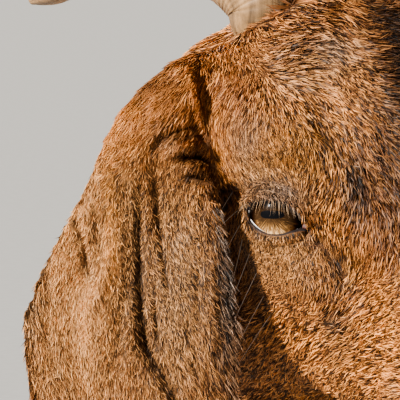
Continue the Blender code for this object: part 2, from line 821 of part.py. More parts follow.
def make_head(red):
    low = (-0.095, -0.290, -0.150)
    high = (0.095, 0.075, 0.110)
    points, quads = net_of(upper_field, low, high, HEAD_STEP, place=from_head)
    head = thinned(add_object("head", points, quads, red), HEAD_TRIANGLES, rounds=3)
    point, normal = head_base()
    keep_side(head, point + normal * GAP / 2, -normal)
    keep_largest(head)
    return head


# Ear and horn of the right side, in millimetres from the middle of the right cornea.
# The axes are the world's: x, towards the viewer in front of the goat, and up.

EAR_STATIONS = {
    "up": [74, 69, 58, 44, 30, 14, -6, -26, -48, -74, -100, -124, -144, -156, -161],
    "rear": [-14, -25, -43, -60, -70, -77, -88, -97, -103, -103, -98, -90, -79, -69, -62],
    "front": [-10, -10, -13, -20, -24, -22, -19, -16, -14, -13, -16, -23, -34, -43, -50],
    "rear_depth": [-60, -62, -64, -62, -58, -52, -46, -42, -39, -37, -36, -35, -35, -35, -35],
    "front_depth": [-50, -48, -46, -44, -40, -34, -28, -25, -24, -25, -27, -29, -31, -33, -34],
    "thickness": [9, 20, 31, 33, 28, 17, 8, 5.6, 5.0, 4.8, 4.6, 4.4, 4.0, 3.4, 2.6],
    "cup": [-4, -8, -12, -12, -7, 2, 8, 8, 7, 6, 5, 4, 3, 2, 0],
}
EAR_ACROSS = 10
EAR_ALONG = 23
MM = 0.001


def cornea(side=1):
    centre, out, ahead, up = eye_axes(side)
    return centre + out * EYE_RADIUS


def ear_fold(across, up):
    """Long ridges of the ear's inner face, in millimetres. across runs from -1, rear, to 1, front."""
    strength = smooth_step(44, 10, up) * smooth_step(-135, -60, up)
    drift = 0.0016 * (up + 20)
    folds = 0
    for place, width, height in ((0.06, 0.10, -2.2), (0.30, 0.09, -1.3), (-0.52, 0.10, -1.4)):
        folds = folds + height * np.exp(-(((across - place - drift) / width) ** 2))
    return folds * strength


def ear_rings():
    stations = EAR_STATIONS
    order = np.argsort(stations["up"])
    known = {key: np.asarray(values, float)[order] for key, values in stations.items()}
    heights = np.linspace(known["up"][-1], known["up"][0], EAR_ALONG)
    base = np.array(cornea())
    rings = []
    for up in heights:
        at = {key: float(curve_through(known["up"], known[key], up)) for key in known}
        rear = np.array([at["rear"], at["rear_depth"]])
        front = np.array([at["front"], at["front_depth"]])
        chord = (front - rear) / np.linalg.norm(front - rear)
        facing = np.array([-chord[1], chord[0]])
        inner, outer = [], []
        for share in np.linspace(-1, 1, EAR_ACROSS):
            level = (rear + front) / 2 + (front - rear) / 2 * share
            hollow = -at["cup"] * (1 - share**2) + ear_fold(share, up)
            edge = math.sqrt(max(1 - share**6, 0))
            thick = at["thickness"] * (0.16 + 0.84 * edge)
            near = level + facing * (hollow + thick * 0.5 * 0.9)
            far = level + facing * (hollow - thick * 0.5)
            inner.append(base + MM * np.array([near[0], -near[1], up]))
            outer.append(base + MM * np.array([far[0], -far[1], up]))
        rings.append(inner + outer[::-1])
    return rings


def make_ears(head, neck, red):
    cutters = [grown(head, GAP), grown(neck, GAP)]
    rings = ear_rings()
    for side in ("right", "left"):
        if side == "left":
            rings = [list(right_to_left(ring)) for ring in rings]
        ear = loft(f"ear_{side}", rings, red)
        for cutter in cutters:
            boolean(ear, cutter, "DIFFERENCE", "MANIFOLD")
        keep_largest(ear)
    remove(*cutters)


HORN_PATH = [
    (10, -54, 65),
    (4, -43, 82),
    (-1, -40, 91),
    (-14, -49, 102),
    (-32, -66, 110),
    (-56, -92, 111),
    (-79, -118, 103),
    (-94, -136, 93),
    (-104, -147, 87),
]
HORN_RADII = [0.0190, 0.0192, 0.0190, 0.0182, 0.0166, 0.0143, 0.0112, 0.0082, 0.0042]
HORN_RINGS = 28
HORN_RIDGE = 0.0007


def horn_line():
    base = np.array(cornea())
    line = smooth_path(HORN_PATH, HORN_RINGS) * MM
    return base + np.stack([line[:, 0], -line[:, 1], line[:, 2]], axis=1)


def make_horns(head, horn):
    line = horn_line()
    radii = curve_through(np.arange(len(HORN_RADII)), HORN_RADII,
                          np.linspace(0, len(HORN_RADII) - 1, HORN_RINGS))
    fade = smooth_step(1.0, 0.5, np.linspace(0, 1, HORN_RINGS))
    radii = radii + HORN_RIDGE * fade * np.where(np.arange(HORN_RINGS) % 3 == 1, 1, -0.4)
    for side in ("right", "left"):
        if side == "left":
            line = right_to_left(line)
        across = head_matrix().to_3x3() @ Vector((1, 0, 0))
        made = tube(f"horn_{side}", line, radii, horn, sides=10, squash=0.86, across=across)
        socket = grown(made, GAP)
        boolean(head, socket, "DIFFERENCE", "MANIFOLD")
        remove(socket)


def udder_field(points):
    bag = both_sides(ellipsoid, points, (0.022, back(0.640), 0.395), (0.036, 0.066, 0.075))
    teats = both_sides(
        limb, points, [(0.026, back(0.625), 0.345), (0.030, back(0.618), 0.310), (0.031, back(0.616), 0.293)],
        [0.016, 0.010, 0.0075])
    return smooth_union(bag, teats, 0.012)


def make_udder(body, pink):
    low = (-0.08, back(0.55), 0.26)
    high = (0.08, back(0.73), 0.49)
    points, quads = net_of(udder_field, low, high, 0.005)
    udder = thinned(add_object("udder", points, quads, pink), UDDER_TRIANGLES, rounds=2)
    cutter = grown(body, GAP)
    boolean(udder, cutter, "DIFFERENCE")
    remove(cutter)
    keep_largest(udder)


TAIL_PATH = [
    (0, back(0.770), 0.618),
    (0, back(0.808), 0.634),
    (0, back(0.838), 0.626),
    (0, back(0.854), 0.598),
    (0, back(0.860), 0.565),
    (0, back(0.860), 0.535),
]
TAIL_RADII = [0.019, 0.020, 0.018, 0.015, 0.011, 0.006]
TAIL_LOCKS = 10


def lock(root, tip, lift, width, thickness):
    """A flat, tapered and bent lock of hair from root to tip. lift bows it out."""
    root, tip, lift = Vector(root), Vector(tip), Vector(lift)
    length = (tip - root).normalized()
    flat = length.cross(lift.normalized()).normalized()
    rings = []
    for share, size in ((0.0, 0.75), (0.35, 1.0), (0.70, 0.62), (1.0, 0.10)):
        centre = root.lerp(tip, share) + lift * (4 * share * (1 - share))
        thin = lift.normalized()
        corners = [flat * width, thin * thickness, -flat * width, -thin * thickness]
        rings.append([centre + c * size / 2 for c in corners])
    return loft("lock", rings, None)


def make_tail(body, white):
    path = smooth_path(TAIL_PATH, 16)
    radii = curve_through(np.arange(len(TAIL_RADII)), TAIL_RADII, np.linspace(0, 5, 16))
    tail = tube("tail", path, radii, white, sides=10, squash=1.45)
    draw = random.Random(7)
    locks = bpy.data.collections.new("locks")
    bpy.context.scene.collection.children.link(locks)
    for k in range(TAIL_LOCKS):
        share = 0.30 + 0.66 * (k // 2) / (TAIL_LOCKS / 2 - 1)
        side = 1 if k % 2 else -1
        spot = int(share * 15)
        centre = Vector(path[spot])
        width = radii[spot] * (1.0 - 0.75 * share ** 3) * draw.uniform(0.4, 0.75)
        root = centre + Vector((side * width, 0.002, 0))
        drop = 0.052 + draw.uniform(-0.008, 0.008)
        fan = 0.020 * (1.1 - share)
        tip = root + Vector((side * fan, 0.016 - 0.012 * share, -drop))
        made = lock(root, tip, (side * 0.004, 0.007, 0.002), 0.013, 0.0048)
        bpy.context.scene.collection.objects.unlink(made)
        locks.objects.link(made)
    union = tail.modifiers.new("locks", "BOOLEAN")
    union.operation = "UNION"
    union.operand_type = "COLLECTION"
    union.collection = locks
    union.solver = "EXACT"
    settle(tail)
    remove(*list(locks.objects))
    bpy.data.collections.remove(locks)
    cutter = grown(body, GAP)
    boolean(tail, cutter, "DIFFERENCE")
    remove(cutter)
    keep_largest(tail)


def stand_on_floor():
    """Moves the goat so that its box stands centred on the origin."""
    points = np.concatenate([
        [tuple(obj.matrix_world @ v.co) for v in obj.data.vertices] for obj in bpy.data.objects
    ])
    low, high = points.min(0), points.max(0)
    shift = Vector((-(low[0] + high[0]) / 2, -(low[1] + high[1]) / 2, -low[2]))
    for obj in bpy.data.objects:
        obj.data.transform(Matrix.Translation(shift))


def main():
    clear_scene()
    white = material("white_coat", WHITE, COAT_ROUGHNESS)
    red = material("red_coat", RED, COAT_ROUGHNESS)
    horn = material("horn", HORN_COLOUR, 0.55)
    claw = material("claw", CLAW_COLOUR, 0.5)
    iris = material("eye", EYE_COLOUR, 0.12)
    pink = material("udder_skin", SKIN_PINK, 0.6)
    body, neck = make_body(white, red)
    make_feet(claw)
    make_udder(body, pink)
    make_tail(body, white)
    remove(body)
    head = make_head(red)
    make_ears(head, neck, red)
    make_horns(head, horn)
    make_eyes(head, iris)
    cut_mouth(head)
    cut_nostrils(head)
    for obj in bpy.data.objects:
        keep_largest(mended(obj))
    stand_on_floor()


main()
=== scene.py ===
"""The looks of a boer goat doe: one skin with short fur, lids, eyes, horns, claws and udder.

The frame's solids give every place. The skin is remeshed from the solids of flesh, drawn in by the
depth of the coat, and carries folds and markings. Fur is short tapered blades of mesh that follow
the lie of the coat. Places on the head are given in millimetres from the front of the right eye:
x to the goat's left and z up, as they are seen from straight in front of the goat.
"""

import json
import math
from contextlib import contextmanager

import bmesh
import bpy
import numpy as np
from mathutils import Matrix, Vector
from mathutils.bvhtree import BVHTree

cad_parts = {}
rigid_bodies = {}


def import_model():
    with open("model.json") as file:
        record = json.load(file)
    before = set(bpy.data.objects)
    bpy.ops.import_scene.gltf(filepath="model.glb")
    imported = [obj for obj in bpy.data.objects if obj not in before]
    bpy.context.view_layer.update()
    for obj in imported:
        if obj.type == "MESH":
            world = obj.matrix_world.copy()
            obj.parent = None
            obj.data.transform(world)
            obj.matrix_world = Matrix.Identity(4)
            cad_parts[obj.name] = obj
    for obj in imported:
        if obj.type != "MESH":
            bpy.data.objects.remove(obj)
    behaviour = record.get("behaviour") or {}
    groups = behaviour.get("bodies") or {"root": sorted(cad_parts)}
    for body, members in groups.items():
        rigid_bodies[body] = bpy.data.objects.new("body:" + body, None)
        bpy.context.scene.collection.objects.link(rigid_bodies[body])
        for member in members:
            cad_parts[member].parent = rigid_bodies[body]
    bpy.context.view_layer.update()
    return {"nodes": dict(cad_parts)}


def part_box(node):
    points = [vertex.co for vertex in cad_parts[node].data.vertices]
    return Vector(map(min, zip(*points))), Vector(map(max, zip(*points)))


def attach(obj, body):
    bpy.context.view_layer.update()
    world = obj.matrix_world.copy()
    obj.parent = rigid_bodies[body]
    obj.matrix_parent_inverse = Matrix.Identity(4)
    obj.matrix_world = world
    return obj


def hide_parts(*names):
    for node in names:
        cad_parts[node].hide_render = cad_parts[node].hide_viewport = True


MM = 0.001
SIDES = {"right": 1, "left": -1}

# Head and eyes, as in the solids
HEAD_TURN = math.radians(28)
HEAD_PITCH = math.radians(28)
EYE_IN_HEAD = Vector((-0.0453, -0.0978, 0.0025))
EYE_OUTWARD = math.radians(52)

# The nodes of flesh, and how far they are puffed to meet
HEAD_NODES = ["head", "ear_left", "ear_right", "neck"]
BODY_NODES = ["neck", "torso", "foreleg_left", "foreleg_right", "hindleg_left", "hindleg_right", "tail"]
PUFF = 0.0005

# Mesh step and rounds of smoothing of each skin
HEAD_VOXEL, HEAD_ROUNDS = 0.0020, 4
BODY_VOXEL, BODY_ROUNDS = 0.0075, 5
UDDER_VOXEL, UDDER_ROUNDS = 0.0028, 6

# The plane where the finer skin of the head meets that of the body, and how far they overlap
SEAM_POINT = np.array([0.0, -0.286, 0.742])
SEAM_NORMAL = np.array([0.0, -0.53, 0.848])
SEAM_OVERLAP = 0.008

# How far the skin lies under the solids
BODY_DEPTH = 0.0040
LEG_DEPTH = 0.0020
HEAD_DEPTH = 0.0018
LID_DEPTH = 0.0012
EAR_DEPTH = 0.0006
LID_ZONE = 0.024

# Depths behind the eye, in millimetres: where the markings of face and ears end and where they are
# full, and where the ears and their folds end
NEAR_FACE = (45, 30)
NEAR_EAR = (75, 60)
FOLDS_END = 74

# Camera: the photograph's frame is this wide, centred this far from the front of the right eye
FRAME_WIDTH = 0.1667
FRAME_CENTRE = Vector((-0.030, 0.0, 0.0067))
CAMERA_DISTANCE = 2.6
CAMERA_RISE = math.radians(3)
SENSOR = 36.0


def smooth_step(low, high, x):
    """0 at low and 1 at high, with a smooth rise between them."""
    t = np.clip((x - low) / (high - low), 0, 1)
    return t * t * (3 - 2 * t)


def spot(plane, place, size):
    """1 at a place seen from in front, falling off to 0 beyond its size across and upwards."""
    return np.exp(-((plane[:, 0] - place[0]) / size[0]) ** 2 - ((plane[:, 1] - place[1]) / size[1]) ** 2)


def inside(plane, box):
    """Whether each place is in a box, given by its least and most across and its least and most upwards."""
    left, right, low, high = box
    return (plane[:, 0] > left) & (plane[:, 0] < right) & (plane[:, 1] > low) & (plane[:, 1] < high)


def unit(vectors):
    """The vectors, each made one long."""
    return vectors / np.maximum(np.linalg.norm(vectors, axis=-1, keepdims=True), 1e-9)


def ripple(points, wavelength, seed, octaves=2):
    """Smooth noise from -1 to 1 at each point: sums of waves in random directions."""
    draw = np.random.default_rng(seed)
    total = np.zeros(len(points))
    size = 1.0
    for octave in range(octaves):
        for wave in range(6):
            direction = unit(draw.normal(size=3))
            phase = draw.uniform(0, 2 * math.pi)
            along = points @ direction * (2 * math.pi / (wavelength * draw.uniform(0.7, 1.4)))
            total += size * np.sin(along + phase)
        wavelength = wavelength * 0.45
        size = size * 0.6
    return np.clip(total / 4.2, -1, 1)


def smooth_curve(points, count, closed=False):
    """count points on a Catmull-Rom curve through the given points."""
    points = np.asarray(points, float)
    total = len(points)
    spans = total if closed else total - 1
    at = np.linspace(0, spans, count, endpoint=not closed)
    cell = np.minimum(at.astype(int), spans - 1)
    t = (at - cell)[:, None]

    def pick(shift):
        index = cell + shift
        return points[index % total] if closed else points[np.clip(index, 0, total - 1)]

    a, b, c, d = pick(-1), pick(0), pick(1), pick(2)
    return 0.5 * (2 * b + (c - a) * t + (2 * a - 5 * b + 4 * c - d) * t**2 + (3 * b - a - 3 * c + d) * t**3)


def placed(name, data):
    """A new object in the scene that holds the data."""
    obj = bpy.data.objects.new(name, data)
    bpy.context.scene.collection.objects.link(obj)
    return obj


def ring_faces(rings, sides, flipped):
    """Faces between neighbouring closed rings of points."""
    faces = []
    for ring in range(rings - 1):
        for k in range(sides):
            a, b = ring * sides + k, ring * sides + (k + 1) % sides
            face = (a, b, b + sides, a + sides)
            faces.append(face[::-1] if flipped else face)
    return faces


def add_mesh(name, points, faces, material=None):
    """A new object in the scene with these points and faces."""
    mesh = bpy.data.meshes.new(name)
    mesh.from_pydata([tuple(p) for p in points], [], [tuple(f) for f in faces])
    obj = placed(name, mesh)
    if material:
        mesh.materials.append(material)
    return obj


def settle(obj):
    """Applies every modifier."""
    graph = bpy.context.evaluated_depsgraph_get()
    made = bpy.data.meshes.new_from_object(obj.evaluated_get(graph))
    obj.modifiers.clear()
    obj.data = made
    return obj


@contextmanager
def edited(mesh):
    """The mesh as a bmesh, written back at the end."""
    shape = bmesh.new()
    shape.from_mesh(mesh)
    yield shape
    shape.to_mesh(mesh)
    shape.free()


def points_of(mesh):
    flat = np.empty(len(mesh.vertices) * 3, np.float32)
    mesh.vertices.foreach_get("co", flat)
    return flat.reshape(-1, 3).astype(float)


def normals_of(mesh):
    flat = np.empty(len(mesh.vertices) * 3, np.float32)
    mesh.vertex_normals.foreach_get("vector", flat)
    return flat.reshape(-1, 3).astype(float)


def set_points(mesh, points):
    mesh.vertices.foreach_set("co", points.astype(np.float32).ravel())
    mesh.update()


# Places on the head


class Head:
    """Turns places from the row frame to the head's own frame, and mirrors them in its middle plane."""

    def __init__(self, eye_centre):
        turn = Matrix.Rotation(HEAD_TURN, 3, "Z") @ Matrix.Rotation(HEAD_PITCH, 3, "X")
        self.turn = np.array(turn)
        self.poll = np.array(eye_centre) - self.turn @ np.array(EYE_IN_HEAD)

    def to_head(self, points):
        return (points - self.poll) @ self.turn

    def mirrored(self, points):
        """Points in the row frame, mirrored in the head's middle plane."""
        local = self.to_head(points)
        local[:, 0] *= -1
        return local @ self.turn.T + self.poll

    def mirrored_vectors(self, vectors):
        local = vectors @ self.turn
        local[:, 0] *= -1
        return local @ self.turn.T


class Eye:
    """Centre, radius and axes of an eye, and its front point."""

    def __init__(self, side):
        low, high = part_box(f"eye_{side}")
        sign = SIDES[side]
        self.centre = (low + high) / 2
        self.radius = (high - low).z / 2
        yaw = Matrix.Rotation(HEAD_TURN, 3, "Z")
        self.out = yaw @ Vector((-math.sin(EYE_OUTWARD) * sign, -math.cos(EYE_OUTWARD), 0))
        self.ahead = yaw @ Vector((math.cos(EYE_OUTWARD) * sign, -math.sin(EYE_OUTWARD), 0))
        self.up = Vector((0, 0, 1))
        self.front = self.centre + self.out * self.radius

    def seen(self, points):
        """Places as seen from in front, and depths behind the eye's front, in millimetres."""
        local = (points - np.array(self.front)) / MM
        return local[:, [0, 2]], local[:, 1]


def both_ways(points, normals, head):
    """The points and normals, then their mirror images, each with whether it is the mirror image."""
    yield points, normals, False
    yield head.mirrored(points), head.mirrored_vectors(normals), True


def both_sides(points, head, eye):
    """Places and depths of the points and of their mirror images, measured from the right eye."""
    for side_points in (points, head.mirrored(points)):
        yield eye.seen(side_points)


# Materials


class Nodes:
    """A material's node tree, with short calls to add and join nodes."""

    def __init__(self, name):
        self.material = bpy.data.materials.new(name)
        self.material.use_nodes = True
        self.tree = self.material.node_tree
        self.shader = self.tree.nodes["Principled BSDF"]

    def add(self, kind, **values):
        node = self.tree.nodes.new(kind)
        for key, value in values.items():
            if key in node.inputs:
                node.inputs[key].default_value = value
            else:
                setattr(node, key, value)
        return node

    def place(self):
        """The place on the piece, in its own axes."""
        return self.add("ShaderNodeTexCoord").outputs["Object"]

    def colour(self, output):
        self.join(output, self.shader.inputs["Base Color"])

    def join(self, output, target):
        self.tree.links.new(output, target)

    def set(self, **values):
        for key, value in values.items():
            self.shader.inputs[key.replace("_", " ")].default_value = value

    def math(self, operation, a, b=0.0, c=0.0):
        node = self.tree.nodes.new("ShaderNodeMath")
        node.operation = operation
        for socket, value in zip(node.inputs, (a, b, c)):
            if isinstance(value, (int, float)):
                socket.default_value = value
            else:
                self.join(value, socket)
        return node.outputs[0]

    def ramp(self, factor, stops):
        node = self.tree.nodes.new("ShaderNodeValToRGB")
        elements = node.color_ramp.elements
        while len(elements) < len(stops):
            elements.new(0.5)
        for element, (place, colour) in zip(elements, stops):
            element.position = place
            element.color = (*colour, 1)
        self.join(factor, node.inputs[0])
        return node.outputs[0]

    def mix(self, factor, a, b, blend="MIX"):
        node = self.tree.nodes.new("ShaderNodeMix")
        node.data_type = "RGBA"
        node.blend_type = blend
        for socket, value in ((node.inputs[0], factor), (node.inputs[6], a), (node.inputs[7], b)):
            if isinstance(value, (int, float)):
                socket.default_value = value
            elif isinstance(value, tuple):
                socket.default_value = (*value, 1)
            else:
                self.join(value, socket)
        return node.outputs[2]

    def noise(self, vector, scale, detail=3.0, roughness=0.55):
        node = self.add("ShaderNodeTexNoise", Scale=scale, Detail=detail, Roughness=roughness)
        self.join(vector, node.inputs["Vector"])
        return node.outputs["Fac"]

    def bump(self, height, strength, distance):
        node = self.add("ShaderNodeBump", Strength=strength, Distance=distance)
        self.join(height, node.inputs["Height"])
        self.join(node.outputs[0], self.shader.inputs["Normal"])


def coat_material(name, roughness, bumps):
    """Fur or skin: its colour is the coat's marking at that place, with a little noise."""
    nodes = Nodes(name)
    marking = nodes.add("ShaderNodeAttribute", attribute_name="Coat")
    place = nodes.place()
    tint = nodes.ramp(nodes.noise(place, 900.0), [(0.3, (0.80, 0.80, 0.80)), (0.7, (1.12, 1.12, 1.12))])
    nodes.colour(nodes.mix(1.0, marking.outputs["Color"], tint, "MULTIPLY"))
    nodes.set(Roughness=roughness, Specular_IOR_Level=0.22)
    if bumps:
        nodes.bump(nodes.noise(place, 420.0, 4.0), 0.6, 0.001)
    return nodes.material


IRIS_RADIUS = 0.0110
PUPIL_HALF_WIDTH = 0.0060
PUPIL_HALF_HEIGHT = 0.0019
PUPIL_RISE = 0.0006
PUPIL_SQUARENESS = 2.6
PUPIL_BLACK = (0.005, 0.005, 0.006)


def eye_material():
    """An amber iris with a level, dark slot of a pupil, worked out about the ball's own axis."""
    nodes = Nodes("eye_ball")
    split = nodes.add("ShaderNodeSeparateXYZ")
    nodes.join(nodes.place(), split.inputs[0])
    x, y = split.outputs[0], split.outputs[1]
    squares = nodes.math("ADD", nodes.math("MULTIPLY", x, x), nodes.math("MULTIPLY", y, y))
    away = nodes.math("SQRT", squares)
    share = nodes.math("DIVIDE", away, IRIS_RADIUS)
    angle = nodes.math("ARCTAN2", y, x)
    turned = nodes.add("ShaderNodeCombineXYZ")
    nodes.join(nodes.math("MULTIPLY", angle, 6.0), turned.inputs[0])
    nodes.join(nodes.math("MULTIPLY", share, 1.6), turned.inputs[1])
    fibres = nodes.noise(turned.outputs[0], 2.2, 5.0, 0.65)

    # The iris is dark round the pupil and light below it, and darkens at its rim; its top carries painted
    # shade from the upper lid
    lower = nodes.math("MULTIPLY", y, -62.5)
    light = nodes.math("ADD", nodes.math("MULTIPLY_ADD", fibres, 1.1, -0.25), lower)
    iris = nodes.ramp(light, [(0.10, (0.022, 0.011, 0.005)), (0.46, (0.045, 0.024, 0.011)),
                              (0.68, (0.31, 0.165, 0.064)), (0.82, (0.86, 0.55, 0.27))])
    rim = nodes.ramp(share, [(0.72, (1.0, 1.0, 1.0)), (0.86, (0.40, 0.32, 0.27)),
                             (0.94, (0.12, 0.07, 0.05)), (1.0, (0.035, 0.018, 0.012))])
    # Painted shade of the upper lid over the top of the iris
    height = nodes.math("MULTIPLY", y, 100.0)
    lid_shade = nodes.ramp(height, [(0.26, (1.0, 1.0, 1.0)), (0.46, (0.16, 0.14, 0.13))])
    coloured = nodes.mix(1.0, nodes.mix(1.0, iris, rim, "MULTIPLY"), lid_shade, "MULTIPLY")

    # The pupil is a level slot with rounded corners and a slightly frayed edge
    wide = nodes.math("ABSOLUTE", nodes.math("DIVIDE", x, PUPIL_HALF_WIDTH))
    raised = nodes.math("SUBTRACT", y, PUPIL_RISE)
    tall = nodes.math("ABSOLUTE", nodes.math("DIVIDE", raised, PUPIL_HALF_HEIGHT))
    wide, tall = (nodes.math("POWER", part, PUPIL_SQUARENESS) for part in (wide, tall))
    edge = nodes.math("ADD", nodes.math("ADD", wide, tall), nodes.math("MULTIPLY", fibres, 0.35))
    open_iris = nodes.ramp(edge, [(0.0, (0.0, 0.0, 0.0)), (0.88, (0.0, 0.0, 0.0)), (1.0, (1.0, 1.0, 1.0))])
    nodes.colour(nodes.mix(open_iris, PUPIL_BLACK, coloured))
    nodes.set(Roughness=0.32, Coat_Weight=0.03, Coat_Roughness=0.03, Specular_IOR_Level=0.02)
    nodes.bump(fibres, 0.12, 0.0004)
    return nodes.material


def wet_material(name, colour, roughness, wetness=0.7):
    """Bare damp skin, such as a lid's edge."""
    nodes = Nodes(name)
    patches = nodes.noise(nodes.place(), 700.0)
    dark = tuple(c * 0.55 for c in colour)
    nodes.colour(nodes.ramp(patches, [(0.35, dark), (0.65, colour)]))
    nodes.set(Roughness=roughness, Coat_Weight=wetness, Coat_Roughness=0.12)
    nodes.bump(patches, 0.3, 0.0003)
    return nodes.material


def horn_material(name, light, dark, fibre_scale):
    """Horn with long fibres and weathered pale patches."""
    nodes = Nodes(name)
    along = nodes.add("ShaderNodeAttribute", attribute_name="Grain")
    fibres = nodes.noise(along.outputs["Vector"], fibre_scale, 6.0, 0.7)
    patches = nodes.noise(nodes.place(), 130.0, 5.0, 0.65)
    pale = tuple(c * 1.35 for c in light)
    base = nodes.ramp(fibres, [(0.30, dark), (0.52, light), (0.75, pale)])
    worn = nodes.ramp(patches, [(0.35, (0.60, 0.56, 0.50)), (0.65, (1.15, 1.10, 1.02))])
    nodes.colour(nodes.mix(1.0, base, worn, "MULTIPLY"))
    nodes.set(Roughness=0.52)
    nodes.bump(fibres, 0.55, 0.0006)
    return nodes.material


def claw_material():
    """Dull dark horn with faint level bands."""
    nodes = Nodes("claw_horn")
    stretched = nodes.add("ShaderNodeMapping", Scale=(1.0, 1.0, 6.0))
    nodes.join(nodes.place(), stretched.inputs["Vector"])
    bands = nodes.noise(stretched.outputs[0], 55.0, 5.0, 0.65)
    colour = nodes.ramp(bands, [(0.3, (0.030, 0.022, 0.018)), (0.55, (0.060, 0.045, 0.035)),
                                (0.8, (0.115, 0.088, 0.068))])
    nodes.colour(colour)
    nodes.set(Roughness=0.6)
    nodes.bump(bands, 0.5, 0.001)
    return nodes.material


def floor_material():
    """A plain pale floor with a faint grain."""
    nodes = Nodes("studio_floor")
    nodes.set(Roughness=0.9)
    grain = nodes.noise(nodes.place(), 30.0)
    nodes.colour(nodes.ramp(grain, [(0.3, (0.38, 0.375, 0.365)), (0.7, (0.41, 0.405, 0.395))]))
    return nodes.material


# Skin


def together(meshes):
    """The points and faces of several meshes in one list each."""
    points, faces, start = [], [], 0
    for mesh in meshes:
        points.append(points_of(mesh))
        faces += [[start + v for v in polygon.vertices] for polygon in mesh.polygons]
        start += len(mesh.vertices)
    return np.concatenate(points), faces


def joined(name, nodes):
    """One mesh from the meshes of several nodes, with coinciding points merged."""
    obj = add_mesh(name, *together([bpy.data.objects[node].data for node in nodes]))
    with edited(obj.data) as shape:
        bmesh.ops.remove_doubles(shape, verts=shape.verts[:], dist=1e-5)
    return obj


def remeshed(obj, voxel, rounds):
    """Puffs the solids until they meet, makes one even skin of them and smooths it."""
    puff = obj.modifiers.new("puff", "DISPLACE")
    puff.mid_level = 0
    puff.strength = PUFF
    remesh = obj.modifiers.new("remesh", "REMESH")
    remesh.mode = "VOXEL"
    remesh.voxel_size = voxel
    smooth = obj.modifiers.new("smooth", "SMOOTH")
    smooth.factor = 0.5
    smooth.iterations = rounds
    return settle(obj)


def keep_half(obj, point, normal):
    """Keeps what lies on the side that the normal points away from."""
    with edited(obj.data) as shape:
        everything = shape.verts[:] + shape.edges[:] + shape.faces[:]
        bmesh.ops.bisect_plane(shape, geom=everything, plane_co=point, plane_no=normal, clear_outer=True)


# The ear's front margin seen from in front: heights, and x at each height
EAR_EDGE_UP = [-161, -144, -124, -100, -74, -48, -26, -6, 14, 30, 44, 58, 80]
EAR_EDGE_X = [-50, -34, -23, -16, -13.5, -14, -16.5, -19.5, -22.5, -25.5, -28, -30, -30]


def ear_share(points, head, eye):
    """1 on the hanging ears and 0 on the head and neck, for points on the head's skin."""
    share = np.zeros(len(points))
    for plane, depth in both_sides(points, head, eye):
        x, z = plane.T
        edge = np.interp(z, EAR_EDGE_UP, EAR_EDGE_X)
        front = smooth_step(edge + 1.5, edge - 1.5, x)
        near = smooth_step(FOLDS_END, 64, depth)
        share = np.maximum(share, front * near * smooth_step(78, 62, z) * smooth_step(-300, -290, z))
    return share


# Folds seen from in front: a line that runs down or to the goat's left, its half widths on the side
# of the ear's rear edge (or below) and of the face (or above), and its depth. A ridge is below zero.
# All are in millimetres.
EAR_FOLDS = [
    ([(-55, 17), (-55, 7), (-55, -10), (-55, -27), (-54, -43), (-52, -55), (-50, -60), (-44, -71),
      (-39, -81), (-34, -95), (-33, -118)], 4.0, 1.3, 4.6),
    ([(-50, 18), (-48, 7), (-47.5, -2), (-46.5, -11), (-45, -24), (-43.5, -30), (-41.5, -36), (-40, -44)],
     2.0, 1.1, 2.6),
    ([(-52, -31), (-49, -40), (-48, -52), (-47, -58)], 1.6, 1.0, 1.8),
    ([(-82, 1), (-80, -10), (-78, -17), (-77, -23), (-76, -30)], 2.6, 1.4, 2.2),
    ([(-68, 12), (-67, -10), (-68, -20), (-72, -31), (-77, -41), (-77, -55), (-75, -66)], 4.5, 4.5, -1.9),
    ([(-62, 14), (-61, -6), (-61, -30), (-64, -52), (-66, -80)], 2.6, 2.0, 1.0),
    ([(-74, -2), (-73, -16), (-76, -28)], 1.8, 2.4, 0.9),
    ([(-45, 22), (-42, 27), (-38, 29), (-34, 30.5), (-31, 30), (-27.5, 28), (-24.5, 25)], 1.7, 1.5, -2.6),
    ([(-50, 26), (-46, 32), (-41, 35), (-36, 37), (-30, 38)], 2.2, 1.6, 3.2),
    ([(-38, 24), (-34, 24.5), (-30, 24), (-26, 21)], 1.8, 1.4, 5.0),
    ([(-36, 19.5), (-32, 21), (-27, 20)], 1.6, 1.4, -2.4),
    ([(-35, 16), (-30, 15.5), (-25, 14)], 2.3, 1.8, 4.6),
    ([(-32, 10), (-28.5, 11.5), (-25, 11.5)], 1.2, 1.2, -1.4),
    ([(-29.5, 8), (-29, 4), (-28, 0)], 1.4, 1.2, 1.8),
    ([(-33, 62), (-32, 50), (-29.5, 42), (-27, 36), (-25.5, 29), (-24.5, 22)], 1.3, 1.1, -2.6),
    ([(-30, 58), (-29, 48), (-26.5, 40), (-23, 30)], 1.4, 1.6, 0.9),
    ([(-20, 6), (-16, -8), (-13, -28), (-10, -50), (-10, -74), (-13, -100)], 9.0, 9.0, 5.0),
    ([(-64, 48), (-52, 58), (-40, 66)], 9.0, 9.0, 2.6),
    ([(-30, -8), (-30, -24), (-31, -44), (-28, -66)], 2.4, 2.0, 0.9),
    ([(-24, -20), (-22, -42), (-21, -64)], 2.0, 1.6, 0.8),
    ([(-36, -46), (-33, -58), (-31, -74)], 1.6, 1.3, 1.0),
    ([(-92, -22), (-93, -44), (-91, -70)], 3.0, 2.4, 1.0),
]
